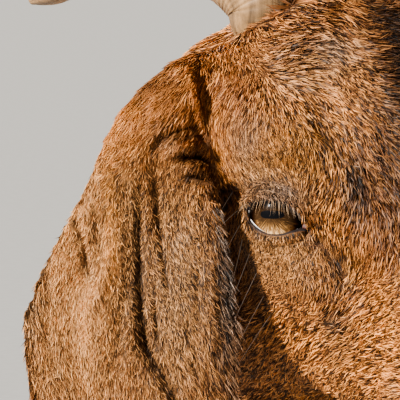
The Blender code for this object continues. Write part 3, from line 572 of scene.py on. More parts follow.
FACE_FOLDS = [
    ([(-12, 8), (-8.3, 10.6), (-3.8, 11.6), (1.7, 10.8), (7.1, 8), (11.7, 3.6)], 0.9, 1.0, 1.1),
    ([(-10.8, 13), (-5.8, 15.2), (0, 15.2), (6.7, 12.6), (12, 8)], 1.1, 1.2, 0.9),
    ([(-9, 19), (-3, 21), (5, 20), (12, 16)], 1.4, 1.6, 0.5),
    ([(-8, -12), (-2, -15), (5, -15), (12, -12)], 1.4, 1.4, 0.3),
    ([(17, 48), (21, 34), (28, 27), (34, 23), (37.5, 15), (37, 4), (34.5, -12)], 3.4, 2.8, 2.0),
    ([(14.5, -5.5), (19, -9.5), (24, -15), (29, -22), (31, -32)], 1.8, 1.8, 1.5),
    ([(-27, 56), (-24, 45), (-20, 36)], 2.6, 2.0, 0.4),
    ([(6, 47), (12, 45), (18, 47)], 1.6, 1.6, 0.8),
]
FOLD_STEPS = 28
FOLD_BOX = (-115, 60, -170, 80)


def fold_depth(plane, folds):
    """How far the folds sink the skin at places seen from in front, in millimetres."""
    depth = np.zeros(len(plane))
    for line, before, beyond, size in folds:
        path = smooth_curve(line, FOLD_STEPS)
        gaps = np.full(len(plane), 1e9)
        along = np.zeros(len(plane))
        side = np.zeros(len(plane))
        for k, (a, b) in enumerate(zip(path[:-1], path[1:])):
            step = b - a
            off = plane - a
            t = np.clip((off @ step) / (step @ step), 0, 1)
            gap = np.linalg.norm(off - t[:, None] * step, axis=1)
            closer = gap < gaps
            gaps[closer] = gap[closer]
            along[closer] = (k + t[closer]) / (FOLD_STEPS - 1)
            side[closer] = (step[0] * off[:, 1] - step[1] * off[:, 0])[closer]
        width = np.where(side > 0, beyond, before)
        fade = np.sin(math.pi * np.clip(along, 0.01, 0.99)) ** 0.6
        depth += size * fade * np.exp(-((gaps / width) ** 2))
    return depth


def crimp(plane):
    """Fine uneven wrinkles of the ear's inner face, in millimetres."""
    flat = np.stack([plane[:, 0], plane[:, 1] * 0.45, 0 * plane[:, 0]], axis=1)
    strength = 0.16 + 0.22 * smooth_step(-58, -40, plane[:, 0]) * smooth_step(0, -40, plane[:, 1])
    return strength * ripple(flat, 5.0, 11, 1) + 0.5 * ripple(flat, 14.0, 12, 1)


def creases(points, head, eye, ear):
    """Depth of the folds at each place, in millimetres, on both sides of the head alike."""
    dips = np.zeros(len(points))
    for side_points in (points, head.mirrored(points)):
        plane, depth = eye.seen(side_points)
        ours = (depth < FOLDS_END) & inside(plane, FOLD_BOX) & (head.to_head(side_points)[:, 0] < 0)
        on_ear = ours & (ear > 0.02)
        dips[on_ear] = ear[on_ear] * (fold_depth(plane[on_ear], EAR_FOLDS) + crimp(plane[on_ear]))
        on_face = ours & (ear < 0.98) & (depth < NEAR_FACE[0])
        dips[on_face] += (1 - ear[on_face]) * fold_depth(plane[on_face], FACE_FOLDS)
    return dips


# Where the ear's rear edge stands further out: place, size and distance in millimetres
EAR_FLARE = ((-101, -44), (13, 27), 3.0)


def carve(points, normals, head, eye):
    """Sinks the folds into the skin. The thin part of an ear moves as one sheet, front and back."""
    ear = ear_share(points, head, eye)
    dips = creases(points, head, eye, ear) * MM
    moved = points.copy()
    for side_points, side_normals, mirrored in both_ways(points, normals, head):
        ours = head.to_head(side_points)[:, 0] < 0
        plane, depth = eye.seen(side_points)
        sheet = ear * smooth_step(20, 4, plane[:, 1]) * ours
        back, out = np.array([0.0, 1.0, 0.0]), np.array([-1.0, 0.0, 0.0])
        if mirrored:
            back, out = head.mirrored_vectors(np.stack([back, out]))
        place, size, most = EAR_FLARE
        moved += out * (most * MM * spot(plane, place, size) * sheet)[:, None]
        front = smooth_step(0.05, 0.45, -side_normals[:, 1]) * smooth_step(FOLDS_END, 60, depth) * ours
        moved += back * (dips * sheet)[:, None]
        moved -= normals * (dips * front * (1 - sheet))[:, None]
    return moved


def skin_inset(points, head, eye, left_eye):
    """How far the skin lies under the solids' surface, in metres."""
    ear = ear_share(points, head, eye)
    height = points[:, 2]
    depth = BODY_DEPTH + (LEG_DEPTH - BODY_DEPTH) * smooth_step(0.36, 0.25, height)
    head_end = smooth_step(0.01, 0.10, (points - SEAM_POINT) @ SEAM_NORMAL)
    depth = depth * (1 - head_end) + HEAD_DEPTH * head_end
    depth = depth * (1 - ear) + EAR_DEPTH * ear
    for ball in (eye, left_eye):
        away = np.linalg.norm(points - np.array(ball.centre), axis=1)
        depth = np.where(away < LID_ZONE, LID_DEPTH, depth)
    return depth + PUFF


# Rings of the lids from the ball outwards: degrees beyond the opening's edge, and millimetres from the
# ball's centre on the upper and on the lower lid
LID_PROFILE = [
    (-3.5, 15.80, 15.80), (-1.2, 16.40, 16.02), (0.0, 17.40, 16.25), (1.0, 18.60, 16.70),
    (2.4, 19.50, 17.30), (4.5, 20.00, 17.80), (7.5, 20.05, 18.15), (10.5, 19.65, 18.25),
    (13.0, 19.30, 18.15), (15.5, 19.30, 18.20), (19.0, 19.55, 18.25), (23.0, 19.40, 18.10),
    (28.0, 18.70, 17.60), (34.0, 17.30, 16.50), (42.0, 14.80, 14.30),
]

# The edge of the open lids seen from in front, in millimetres from the front of the ball: from the
# outer corner over the upper lid to the inner corner, which is number LID_CORNER, and back below
LID_EDGE = [
    (-11.6, 3.6), (-9.2, 4.8), (-5.6, 5.7), (-0.6, 6.0), (4.6, 5.1), (8.8, 3.0), (12.0, -0.6), (14.8, -4.8),
    (12.4, -5.2), (8.4, -6.2), (3.4, -7.5), (-1.8, -7.3), (-6.0, -5.3), (-9.4, -2.0), (-11.4, 1.2),
]
LID_CORNER = 7
LID_STEPS = 96

# Distances from the ball's centre: of the lids' edge, and within which bare skin and inner sides lie
LID_REACH = 0.0166
BARE_REACH = 0.0195
INNER_REACH = 0.0215


def lid_margin(eye):
    """Unit vectors from the ball's centre to the edge of the open lids of the right eye."""
    edge = smooth_curve(LID_EDGE, LID_STEPS, closed=True) * MM
    centre = np.array(eye.centre)
    front = np.array(eye.front)
    across = front[0] + edge[:, 0] - centre[0]
    upward = front[2] + edge[:, 1] - centre[2]
    deep = np.sqrt(np.maximum(LID_REACH**2 - across**2 - upward**2, (0.10 * LID_REACH) ** 2))
    return unit(np.stack([across, -deep, upward], axis=1))


def upper_share(directions):
    """How far directions off the lids' axis point towards the upper lid and the inner corner."""
    return directions[:, 2] + 0.33 * directions[:, 0]


def turned_away(vectors, axis, degrees):
    """Vectors turned further away from the axis."""
    angle = math.radians(degrees)
    side = unit(vectors - (vectors @ axis)[:, None] * axis)
    from_axis = np.arccos(np.clip(vectors @ axis, -1, 1)) + angle
    return np.cos(from_axis)[:, None] * axis + np.sin(from_axis)[:, None] * side


def make_lids(eye, head, mirrored):
    """A ring of lid skin round the opening, from the wet edge on the ball out to under the face."""
    margin = lid_margin(eye)
    axis = unit(margin.mean(0))
    upper = smooth_step(-0.06, 0.10, upper_share(margin - axis))
    rings = []
    for degrees, above, below in LID_PROFILE:
        radius = (below + (above - below) * upper)[:, None] * MM
        rings.append(np.array(eye.centre) + turned_away(margin, axis, degrees) * radius)
    points = np.concatenate(rings)
    if mirrored:
        points = head.mirrored(points)
    lids = add_mesh("lids", points, ring_faces(len(rings), LID_STEPS, mirrored))
    subdivide = lids.modifiers.new("finer", "SUBSURF")
    subdivide.levels = 1
    subdivide.render_levels = 1
    return settle(lids)


def make_skin(head, eye, left_eye, material):
    """One skin over head, ears, neck, body, legs and tail, with the lids.

    Also gives the normals that it had before its folds, which the coat follows.
    """
    upper = remeshed(joined("skin_head", HEAD_NODES), HEAD_VOXEL, HEAD_ROUNDS)
    keep_half(upper, SEAM_POINT - SEAM_NORMAL * SEAM_OVERLAP, -SEAM_NORMAL)
    lower = remeshed(joined("skin_body", BODY_NODES), BODY_VOXEL, BODY_ROUNDS)
    keep_half(lower, SEAM_POINT, SEAM_NORMAL)
    for part in (upper, lower):
        points = points_of(part.data)
        normals = normals_of(part.data)
        set_points(part.data, points - normals * skin_inset(points, head, eye, left_eye)[:, None])
    refine(upper, head, eye)
    parts = [upper, lower, make_lids(eye, head, False), make_lids(eye, head, True)]
    plain = np.concatenate([normals_of(part.data) for part in parts])
    for part in parts:
        if part is not lower:
            set_points(part.data, carve(points_of(part.data), normals_of(part.data), head, eye))
    skin = join_objects("skin", parts, material)
    skin.data.shade_smooth()
    unwrap(skin)
    return skin, plain


def refine(obj, head, eye):
    """Halves the mesh's step where the photograph looks closest, and smooths what it adds."""
    every_axis = {"use_axis_x": True, "use_axis_y": True, "use_axis_z": True}
    with edited(obj.data) as shape:
        shape.faces.ensure_lookup_table()
        middles = np.array([tuple(f.calc_center_median()) for f in shape.faces])
        facing = np.array([tuple(f.normal) for f in shape.faces])
        close = close_zone(middles, facing, eye) > 0.3
        plane, depth = eye.seen(middles)
        near_ear = (ear_share(middles, head, eye) > 0.5) & (depth < FOLDS_END)
        close |= near_ear & (plane[:, 0] < 0) & (plane[:, 1] > -92)
        edges = {e for k in np.nonzero(close)[0] for e in shape.faces[k].edges}
        bmesh.ops.subdivide_edges(shape, edges=list(edges), cuts=1, use_grid_fill=True)
        new = [v for v in shape.verts if any(e.calc_length() < 0.7 * HEAD_VOXEL for e in v.link_edges)]
        for turn in range(2):
            bmesh.ops.smooth_vert(shape, verts=new, factor=0.5, **every_axis)
    obj.data.update()


def join_objects(name, objects, material):
    """Joins meshes into one object with one material."""
    points, faces = together([obj.data for obj in objects])
    for obj in objects:
        bpy.data.objects.remove(obj)
    return add_mesh(name, points, faces, material)


def unwrap(obj):
    """Lays the skin's own shape out flat, in islands of faces that look the same way."""
    for other in bpy.context.view_layer.objects:
        other.select_set(False)
    obj.select_set(True)
    bpy.context.view_layer.objects.active = obj
    obj.data.uv_layers.new(name="OFBake")
    bpy.ops.object.mode_set(mode="EDIT")
    bpy.ops.mesh.select_all(action="SELECT")
    bpy.ops.uv.smart_project(angle_limit=math.radians(70), island_margin=0.001)
    bpy.ops.object.mode_set(mode="OBJECT")


# Markings

WHITE = np.array([0.74, 0.66, 0.55])
CREAM = np.array([0.60, 0.48, 0.35])
RED = np.array([0.30, 0.112, 0.034])
ORANGE = np.array([0.44, 0.160, 0.036])
GOLD = np.array([0.50, 0.225, 0.065])
RUST = np.array([0.185, 0.064, 0.018])
MAUVE = np.array([0.25, 0.145, 0.090])
TAN = np.array([0.37, 0.195, 0.088])
BRIGHT = np.array([0.80, 0.350, 0.095])
SAND = np.array([0.84, 0.435, 0.180])
UMBER = np.array([0.075, 0.030, 0.012])
BROWN = np.array([0.27, 0.130, 0.058])
ASH = np.array([0.21, 0.140, 0.105])
GREY = np.array([0.062, 0.046, 0.038])
DARK = np.array([0.018, 0.011, 0.009])
BARE = np.array([0.150, 0.085, 0.080])
LID_SKIN = np.array([0.014, 0.009, 0.009])
NOSE_SKIN = np.array([0.16, 0.080, 0.065])

# Patches seen from in front: place, size, colour and strength
FACE_PATCHES = [
    ((8, 24), (18, 22), GOLD, 0.60),
    ((14, 62), (26, 13), BROWN, 0.80),
    ((20, 71), (7, 5), ASH, 0.60),
    ((-2, 76), (12, 9), RUST, 0.60),
    ((-12, 34), (7, 14), MAUVE, 0.75),
    ((-10, 19), (7, 6), SAND, 0.50),
    ((-22, 20), (4, 22), ORANGE, 0.80),
    ((-13, 54), (10, 14), RUST, 0.85),
    ((-14, -2), (4, 14), SAND, 0.60),
    ((23, 71), (8, 6), MAUVE, 0.70),
    ((4, -16), (18, 12), SAND, 0.45),
    ((14, -52), (20, 16), ORANGE, 0.60),
    ((44, -50), (14, 34), ORANGE, 0.75),
    ((33, -18), (4, 9), GOLD, 0.60),
    # Dark coat on the face's right edge with painted shade where it turns from the light, and painted shade
    # in the hollow and the parting beside the brow
    ((49, 56), (14, 44), UMBER, 0.98),
    ((52, 66), (6, 16), DARK, 0.85),
    ((34, 18), (5, 11), DARK, 0.85),
    ((27, 34), (8, 5), DARK, 0.45),
    ((20, 40), (4, 3), DARK, 0.45),
    ((22, 24), (2.2, 10), DARK, 0.45),
    ((47, 18), (10, 28), UMBER, 0.94),
    ((42, -14), (12, 18), RUST, 0.55),
    ((2, 10.5), (14, 7), ASH, 0.92),
    ((2, -11), (14, 4), SAND, 0.45),
    ((26, -18), (5, 8), DARK, 0.55),
    ((28, -43), (6, 6), GREY, 0.75),
    ((31, -56), (6, 6), DARK, 0.45),
    ((18, -10.5), (3.6, 2.2), BARE, 0.70),
    # Painted shadow that the ear casts on the cheek behind it
    ((-10, -38), (6.5, 34), DARK, 1.0),
    ((-4, -72), (7, 20), DARK, 0.96),
]
EAR_PATCHES = [
    # Pale sandy coat on the ear's rear part, made lighter still as painted light where it faces the light
    ((-82, -30), (22, 80), SAND, 0.88),
    ((-61, -4), (5, 36), SAND, 0.55),
    # Bright stripe along the ear's ridge: painted highlight where the ridge catches the light
    ((-67.5, -4), (3.2, 36), BRIGHT, 0.85),
    ((-62, 34), (16, 18), ORANGE, 0.70),
    ((-40, -34), (17, 62), TAN, 0.80),
    # Dark patches in the folds at the ear's base: painted shade in the creases
    ((-38, 34), (12, 6), DARK, 0.45),
    ((-31, 22), (7, 8), DARK, 0.40),
    # Painted shade along the ear's main groove
    ((-57, -20), (2.5, 36), DARK, 0.25),
    ((-101, -42), (5, 12), TAN, 0.80),
    # Grey hair along the ear's front margin, darkened with painted shade where the margin turns away from
    # the light
    ((-19, -30), (6.5, 42), GREY, 0.97),
]


def blended(colour, plane, patches, strength):
    """The colours with the patches laid over them in turn."""
    for place, size, patch, power in patches:
        share = (power * spot(plane, place, size) * strength)[:, None]
        colour = colour * (1 - share) + patch * share
    return colour


# The plane about which the red of head and neck turns to white
RED_END_POINT = np.array([0.0, -0.215, 0.640])
RED_END_NORMAL = np.array([0.0, -0.60, 0.80])


def redness(points):
    """1 where the coat is red, from the head to the shoulders, and 0 where it is white."""
    border = (points - RED_END_POINT) @ RED_END_NORMAL
    border = border + 0.020 * ripple(points, 0.16, 3) + 0.006 * ripple(points, 0.03, 4)
    return smooth_step(-0.008, 0.008, border)


def markings(points, head, eye):
    """The coat's colour at each place, the same for skin and fur, with painted shade and painted highlight
    from some patches and from the folds.
    """
    colour = np.tile(WHITE, (len(points), 1))
    cream = 0.25 * smooth_step(0.42, 0.30, points[:, 2]) + 0.20 * (ripple(points, 0.12, 21) > 0.3)
    colour = colour * (1 - cream[:, None]) + CREAM * cream[:, None]
    red = redness(points)
    tone = np.tile(RED, (len(points), 1))
    warm = smooth_step(-0.4, 0.8, ripple(points, 0.07, 5))[:, None] * 0.5
    tone = tone * (1 - warm) + ORANGE * warm
    ear = ear_share(points, head, eye)
    for plane, depth in both_sides(points, head, eye):
        tone = blended(tone, plane, EAR_PATCHES, ear * smooth_step(*NEAR_EAR, depth))
        tone = blended(tone, plane, FACE_PATCHES, (1 - ear) * smooth_step(*NEAR_FACE, depth))
    # Painted shade in the folds' creases and painted highlight on their ridges
    tone = tone * np.clip(1 - 0.16 * creases(points, head, eye, ear), 0.30, 1.40)[:, None]
    red = red[:, None]
    colour = colour * (1 - red) + tone * red
    return bare_places(colour, points, head, eye)


def bare_places(colour, points, head, eye):
    """Dark lid edges, nose leather and lips."""
    for side_points in (points, head.mirrored(points)):
        share = lid_bareness(side_points, eye)[:, None]
        colour = colour * (1 - share) + LID_SKIN * share
    share = nose_bareness(head.to_head(points))[:, None]
    return colour * (1 - share) + NOSE_SKIN * share


def lid_bareness(points, eye):
    """1 on the naked edge of the right eye's lids."""
    margin = lid_margin(eye)
    away = points - np.array(eye.centre)
    distance = np.linalg.norm(away, axis=1)
    near = distance < BARE_REACH
    share = np.zeros(len(points))
    if near.any():
        directions = away[near] / distance[near][:, None]
        gap = np.degrees(np.arccos(np.clip((directions @ margin.T).max(1), -1, 1)))
        axis = unit(margin.mean(0))
        outside = np.degrees(np.arccos(np.clip(directions @ axis, -1, 1)))
        above = smooth_step(-0.05, 0.10, upper_share(directions - axis))
        share[near] = smooth_step(3.2 + 2.4 * above, 1.6 + 2.0 * above, gap) * (outside < 75)
    return share


# The bare nose and the lips' edges in the head's own frame
NOSE_MIDDLE = np.array([0.0, -0.264, -0.012])
NOSE_SIZE = np.array([0.016, 0.010, 0.013])
LIPS_HEIGHT = -0.0345
LIPS_SIZE = 0.0035


def nose_bareness(local):
    """1 on the bare nose between the nostrils and on the lips' edges, in the head's own frame."""
    nose = np.exp(-(((local - NOSE_MIDDLE) / NOSE_SIZE) ** 2).sum(1))
    lips = np.exp(-((local[:, 2] - LIPS_HEIGHT) / LIPS_SIZE) ** 2)
    lips = lips * smooth_step(-0.180, -0.200, local[:, 1])
    return np.clip(1.6 * nose + 0.8 * lips, 0, 1)


# Lie of the coat


# Places seen from in front, in millimetres, and the way the hair points there: x, z, across, upwards
FACE_FLOW = [
    (-4, 82, 0.6, -0.8), (-11, 69, 0.45, -0.9), (7, 81, 0.95, -0.25), (-3, 62, 0.75, 0.65),
    (4, 68, 0.85, 0.5), (16, 74, 1.0, 0.05), (26, 74, 0.72, -0.7), (32, 65, 0.6, -0.8),
    (40, 73, 1.0, -0.05), (47, 64, 0.92, 0.35), (-9, 56, -0.65, -0.75), (-12, 49, -0.35, -0.95),
    (12, 59, 1.0, 0.0), (21, 52, 0.85, -0.5), (28, 47, 0.7, -0.7), (36, 55, 0.75, -0.65),
    (47, 54, 1.0, -0.1), (-2, 48, 0.05, -1.0), (6, 49, 0.6, -0.8), (-13, 40, -0.15, -1.0),
    (-17, 28, 0.5, -0.85), (-7, 28, 0.45, -0.9), (-9, 17, 0.6, -0.75), (8, 32, 0.08, -1.0),
    (1, 17, 0.5, -0.85), (17, 41, 0.6, -0.8), (22, 27, 0.35, -0.93), (30, 36, 0.65, -0.75),
    (35, 19, 0.45, -0.9), (45, 36, 0.75, -0.65), (45, 17, 0.55, -0.83), (17, 14, -0.5, -0.85),
    (28, 11, -0.3, -0.95), (-7, 11, 0.9, -0.4), (8, 10, 0.75, -0.65), (18, -2, 0.3, -0.95),
    (30, -14, 0.0, -1.0), (-8, -14, -0.1, -1.0), (8, -20, 0.0, -1.0), (22, -22, 0.1, -1.0),
    (1, -39, -0.55, -0.8), (16, -41, -0.5, -0.87), (28, -41, -0.75, -0.6), (35, -31, -0.5, -0.85),
    (45, -35, -0.85, -0.5), (45, -60, -0.9, -0.35), (12, -60, -0.6, -0.8), (28, -64, -0.7, -0.65),
    (42, -4, 0.0, -1.0), (-14, -2, -0.2, -1.0),
]
EAR_FLOW = [
    (-30, 62, -0.7, -0.7), (-50, 44, -0.6, -0.8), (-68, 24, -0.4, -0.9), (-88, -14, -0.4, -0.9),
    (-99, -48, 0.0, -1.0), (-88, -68, 0.15, -1.0), (-63, -14, -0.1, -1.0), (-50, 6, 0.0, -1.0),
    (-34, -14, 0.35, -0.93), (-22, -34, 0.45, -0.9), (-38, -68, 0.3, -0.95), (-30, 40, -0.5, -0.85),
    (-44, -30, 0.3, -0.95), (-66, -60, -0.1, -1.0), (-60, -110, 0.2, -1.0), (-80, -120, 0.4, -0.9),
]
FLOW_REACH = 6.5
FLOW_BOX = (-112, 66, -130, 130)


def guided(plane, guides):
    """The way the hair points seen from in front, blended from the nearest guides."""
    guides = np.array(guides, float)
    places, ways = guides[:, :2], unit(guides[:, 2:])
    gap = ((plane[:, None, :] - places[None]) ** 2).sum(-1)
    weight = np.exp(-gap / (2 * FLOW_REACH**2)) + 1e-5 / (gap + 20)
    return unit(weight @ ways)


def lifted(way, normals):
    """A way seen from in front, laid on the surface."""
    facing = np.minimum(normals[:, 1], -0.30)
    deep = -(way[:, 0] * normals[:, 0] + way[:, 1] * normals[:, 2]) / facing
    return unit(np.stack([way[:, 0], np.clip(deep, -1.5, 1.5), way[:, 1]], axis=1))


def lie_of_coat(points, normals, head, eye):
    """The way each hair points, along the skin."""
    height = points[:, 2]
    leg = smooth_step(0.42, 0.34, height)
    neck = smooth_step(-0.08, -0.24, points[:, 1]) * smooth_step(0.50, 0.62, height)
    rump = smooth_step(0.36, 0.50, points[:, 1])
    down = np.clip(0.28 + 0.75 * rump + 0.6 * neck + 2.5 * leg, 0, 3)
    way = unit(np.stack([0 * height, 1 - 0.95 * leg, -down], axis=1))
    head_end = smooth_step(0.02, 0.10, (points - SEAM_POINT) @ SEAM_NORMAL)[:, None]
    on_head = head.turn @ np.array([0.0, 0.75, -0.66])
    way = unit(way * (1 - head_end) + on_head * head_end)
    ear = ear_share(points, head, eye)[:, None]
    way = unit(way * (1 - ear) + np.array([0.0, 0.0, -1.0]) * ear)
    for side_points, side_normals, mirrored in both_ways(points, normals, head):
        plane, depth = eye.seen(side_points)
        ours = (depth < NEAR_EAR[0]) & inside(plane, FLOW_BOX) & (head.to_head(side_points)[:, 0] < 0.004)
        if not ours.any():
            continue
        guide = np.where(ear[ours] > 0.5, guided(plane[ours], EAR_FLOW), guided(plane[ours], FACE_FLOW))
        found = lifted(guide, side_normals[ours])
        if mirrored:
            found = head.mirrored_vectors(found)
        frontness = smooth_step(-0.05, 0.45, -side_normals[ours][:, 1])
        reach = smooth_step(130, 95, np.abs(plane[ours][:, 1]))
        share = (frontness * reach)[:, None]
        way[ours] = unit(way[ours] * (1 - share) + found * share)
    way = way - (way * normals).sum(1)[:, None] * normals
    return unit(way)


# Fur


class Roots:
    """Places on the skin from which tufts grow, with the skin's normal and unwrapped place there."""

    def __init__(self, skin, plain, density, seed):
        mesh = skin.data
        mesh.calc_loop_triangles()
        count = len(mesh.loop_triangles)
        corners = np.empty(count * 3, np.int32)
        mesh.loop_triangles.foreach_get("vertices", corners)
        loops = np.empty(count * 3, np.int32)
        mesh.loop_triangles.foreach_get("loops", loops)
        corners, loops = corners.reshape(-1, 3), loops.reshape(-1, 3)
        points, normals = points_of(mesh), unit(0.8 * normals_of(mesh) + 0.2 * plain)
        flat = np.empty(len(mesh.loops) * 2, np.float32)
        mesh.uv_layers["OFBake"].data.foreach_get("uv", flat)
        places = flat.reshape(-1, 2)
        a, b, c = (points[corners[:, k]] for k in range(3))
        area = np.linalg.norm(np.cross(b - a, c - a), axis=1) / 2
        middle = (a + b + c) / 3
        facing = unit(plain[corners].sum(1))
        wanted = area * density(middle, facing)
        draw = np.random.default_rng(seed)
        counts = np.floor(wanted + draw.uniform(size=len(wanted))).astype(int)
        chosen = np.repeat(np.arange(count), counts)
        u, v = draw.uniform(size=(2, len(chosen)))
        flip = u + v > 1
        u[flip], v[flip] = 1 - u[flip], 1 - v[flip]
        shares = np.stack([1 - u - v, u, v], axis=1)
        self.points = (points[corners[chosen]] * shares[..., None]).sum(1)
        self.normals = unit((normals[corners[chosen]] * shares[..., None]).sum(1))
        self.places = (places[loops[chosen]] * shares[..., None]).sum(1)

    def __len__(self):
        return len(self.points)

    def kept(self, keep):
        part = object.__new__(Roots)
        part.points, part.normals, part.places = self.points[keep], self.normals[keep], self.places[keep]
        return part


# How wide and tall a tuft's patch is on the unwrapped skin
UV_PATCH = 0.003

# Spread of the tufts' turn about their own length and of their bend to the side
ROLL = 0.75
SWAY = 0.10


def blades(name, roots, ways, shape, colours, dark, seed, material, levels):
    """Tapered blades of mesh, one at each root. shape gives length, width, lift and droop for each.

    dark is the share of its colour that a blade has at its root: painted shade that darkens each blade
    towards the skin.
    """
    draw = np.random.default_rng(seed)
    count = len(roots)
    length, width, lift, droop = (value[:, None] for value in shape)
    roll = draw.normal(0, ROLL, count)[:, None]
    side = np.cross(ways, roots.normals)
    side = side * np.cos(roll) + roots.normals * np.sin(roll)
    sway = draw.normal(0, SWAY, count)[:, None] * np.cross(ways, roots.normals)
    rows, tints, patches = [], [], []
    for level in range(levels):
        t = level / (levels - 1)
        rise = lift * t - droop * t * t
        centre = roots.points - roots.normals * length * 0.03 + (ways + sway * t) * length * t
        centre = centre + roots.normals * rise
        # Each blade darkens towards its root and lightens towards its tip: painted shade among the hairs and
        # painted light on their ends
        tint = colours * (dark + (1.25 - dark) * t**0.7)[:, None]
        if level == levels - 1:
            rows.append(centre[:, None])
            tints.append(tint[:, None])
            patches.append(roots.places[:, None] + np.array([0, UV_PATCH / 2]))
            continue
        half = width * (0.5 if level or levels == 2 else 0.38) * (1 - 0.35 * t)
        rows.append(np.stack([centre - side * half, centre + side * half], axis=1))
        tints.append(np.stack([tint, tint], axis=1))
        shift = UV_PATCH * (t - 0.5)
        patches.append(np.stack([roots.places + np.array([-UV_PATCH / 2, shift]),
                                 roots.places + np.array([UV_PATCH / 2, shift])], axis=1))
    points = np.concatenate(rows, axis=1)
    tints = np.concatenate(tints, axis=1)
    patches = np.concatenate(patches, axis=1)
    per = points.shape[1]
    pattern = []
    for level in range(levels - 2):
        a = 2 * level
        pattern += [(a, a + 1, a + 3), (a, a + 3, a + 2)]
    pattern.append((per - 3, per - 2, per - 1))
    pattern = np.array(pattern)
    faces = (np.arange(count)[:, None, None] * per + pattern[None]).reshape(-1, 3)
    points, tints, patches = points.reshape(-1, 3), tints.reshape(-1, 3), patches.reshape(-1, 2)
    return triangle_mesh(name, points, faces, tints, patches, material)


def triangle_mesh(name, points, faces, tints, patches, material):
    """A mesh of triangles with a colour and an unwrapped place at each point."""
    mesh = bpy.data.meshes.new(name)
    mesh.vertices.add(len(points))
    mesh.loops.add(faces.size)
    mesh.polygons.add(len(faces))
    mesh.vertices.foreach_set("co", points.astype(np.float32).ravel())
    mesh.loops.foreach_set("vertex_index", faces.astype(np.int32).ravel())
    mesh.polygons.foreach_set("loop_start", np.arange(0, faces.size, 3, dtype=np.int32))
    mesh.update(calc_edges=True)
    paint(mesh, tints)
    layer = mesh.uv_layers.new(name="OFBake")
    layer.data.foreach_set("uv", np.clip(patches[faces.ravel()], 0, 1).astype(np.float32).ravel())
    mesh.materials.append(material)
    return placed(name, mesh)


def paint(mesh, tints):
    """Stores a colour for each point, which the materials read as the coat's marking."""
    attribute = mesh.color_attributes.new(name="Coat", type="FLOAT_COLOR", domain="POINT")
    tints = np.maximum(tints, 0) / np.maximum(tints.max(axis=1, keepdims=True), 1)
    rgba = np.concatenate([tints, np.ones((len(tints), 1))], axis=1)
    attribute.data.foreach_set("color", rgba.astype(np.float32).ravel())


# Tufts per square metre, by zone
CLOSE_DENSITY = 4.0e6
SHORT_DENSITY = 7.4e6
HEAD_DENSITY = 1.70e6
NECK_DENSITY = 0.46e6
BODY_DENSITY = 0.098e6
PIECE_TRIANGLES = 190000

# Hair under this length is one straight triangle
SHORT_HAIR = {"fur_close": 0.0050, "fur": 0.0075}

# Mean lengths and widths of tufts by zone
BODY_HAIR, LEG_HAIR, NECK_HAIR, HEAD_HAIR = 0.0145, 0.0070, 0.0105, 0.0056
BODY_TUFT, LEG_TUFT, NECK_TUFT, HEAD_TUFT, CLOSE_TUFT = 0.0019, 0.0011, 0.0011, 0.00072, 0.00054


def leg_share(points):
    """1 on the lower legs and 0 on the body."""
    return smooth_step(0.36, 0.28, points[:, 2])


def close_zone(points, normals, eye):
    """1 on the part of the head that the photograph shows."""
    plane, depth = eye.seen(points)
    x, z = plane.T
    shown = smooth_step(-112, -106, x) * smooth_step(66, 58, x) * smooth_step(-90, -82, z)
    shown = shown * smooth_step(110, 100, z) * smooth_step(120, 90, depth)
    return shown * smooth_step(-0.50, -0.20, -normals[:, 1])


def tuft_zones(points, normals, head, eye):
    """The shares of the part in the photograph, of the whole head and of the neck."""
    close = close_zone(points, normals, eye)
    seam = (points - SEAM_POINT) @ SEAM_NORMAL
    muzzle = smooth_step(-0.04, -0.09, head.to_head(points)[:, 1]) * smooth_step(0.0, 0.02, seam)
    on_head = np.maximum(smooth_step(0.05, 0.11, seam), np.maximum(muzzle, ear_share(points, head, eye)))
    on_neck = smooth_step(-0.14, -0.04, seam) * (1 - on_head)
    return close, on_head, on_neck


def make_fur(skin, plain, head, eye, material):
    """Short fur all over, in pieces, finest where the photograph looks closest."""

    def bare(points, normals):
        share = 0.85 * nose_bareness(head.to_head(points))
        for side_points, side_normals, _ in both_ways(points, normals, head):
            outward = side_points - np.array(eye.centre)
            away = np.linalg.norm(outward, axis=1)
            turned_in = (unit(outward) * side_normals).sum(1) < 0.25
            share = share + lid_bareness(side_points, eye) + (away < LID_REACH)
            share = share + turned_in * (away < INNER_REACH)
        return np.clip(share, 0, 1)

    def close_density(points, normals):
        away = np.linalg.norm(points - np.array(eye.centre), axis=1)
        finer = 1 + 0.9 * smooth_step(0.029, 0.021, away)
        short = smooth_step(0.86, 0.76, hair_shares(points, head, eye)[0])
        spread = CLOSE_DENSITY * (1 - short) + SHORT_DENSITY * short
        return spread * finer * close_zone(points, normals, eye) * (1 - bare(points, normals))

    def wide_density(points, normals):
        close, on_head, on_neck = tuft_zones(points, normals, head, eye)
        spread = HEAD_DENSITY * on_head + NECK_DENSITY * on_neck
        on_body = np.clip(1 - on_head - on_neck, 0, 1)
        spread = spread + BODY_DENSITY * on_body * (1 + 2.2 * leg_share(points))
        return spread * (1 - close) * (1 - bare(points, normals))

    for label, density, seed in (("fur_close", close_density, 101), ("fur", wide_density, 202)):
        everywhere = Roots(skin, plain, density, seed)
        short = usual_length(everywhere, head, eye) < SHORT_HAIR[label]
        for name, keep, levels in ((f"{label}_short", short, 2), (f"{label}_long", ~short, 3)):
            roots = everywhere.kept(keep)
            order = np.argsort(roots.points @ np.array([0.35, 1.0, 0.55]))
            parts = max(1, math.ceil(len(order) * (2 * levels - 3) / PIECE_TRIANGLES))
            for k, chosen in enumerate(np.array_split(order, parts)):
                fur_piece(f"{name}_{k + 1}", roots.kept(chosen), head, eye, material, seed + k, levels)


def usual_length(roots, head, eye):
    """The mean length of the hair at each root, in metres."""
    points = roots.points
    close, on_head, on_neck = tuft_zones(points, roots.normals, head, eye)
    length = BODY_HAIR + (LEG_HAIR - BODY_HAIR) * leg_share(points)
    length = length * (1 - on_neck) + NECK_HAIR * on_neck
    length = length * (1 - on_head) + HEAD_HAIR * on_head
    return np.where(close > 0.3, HEAD_HAIR, length) * hair_shares(points, head, eye)[0]


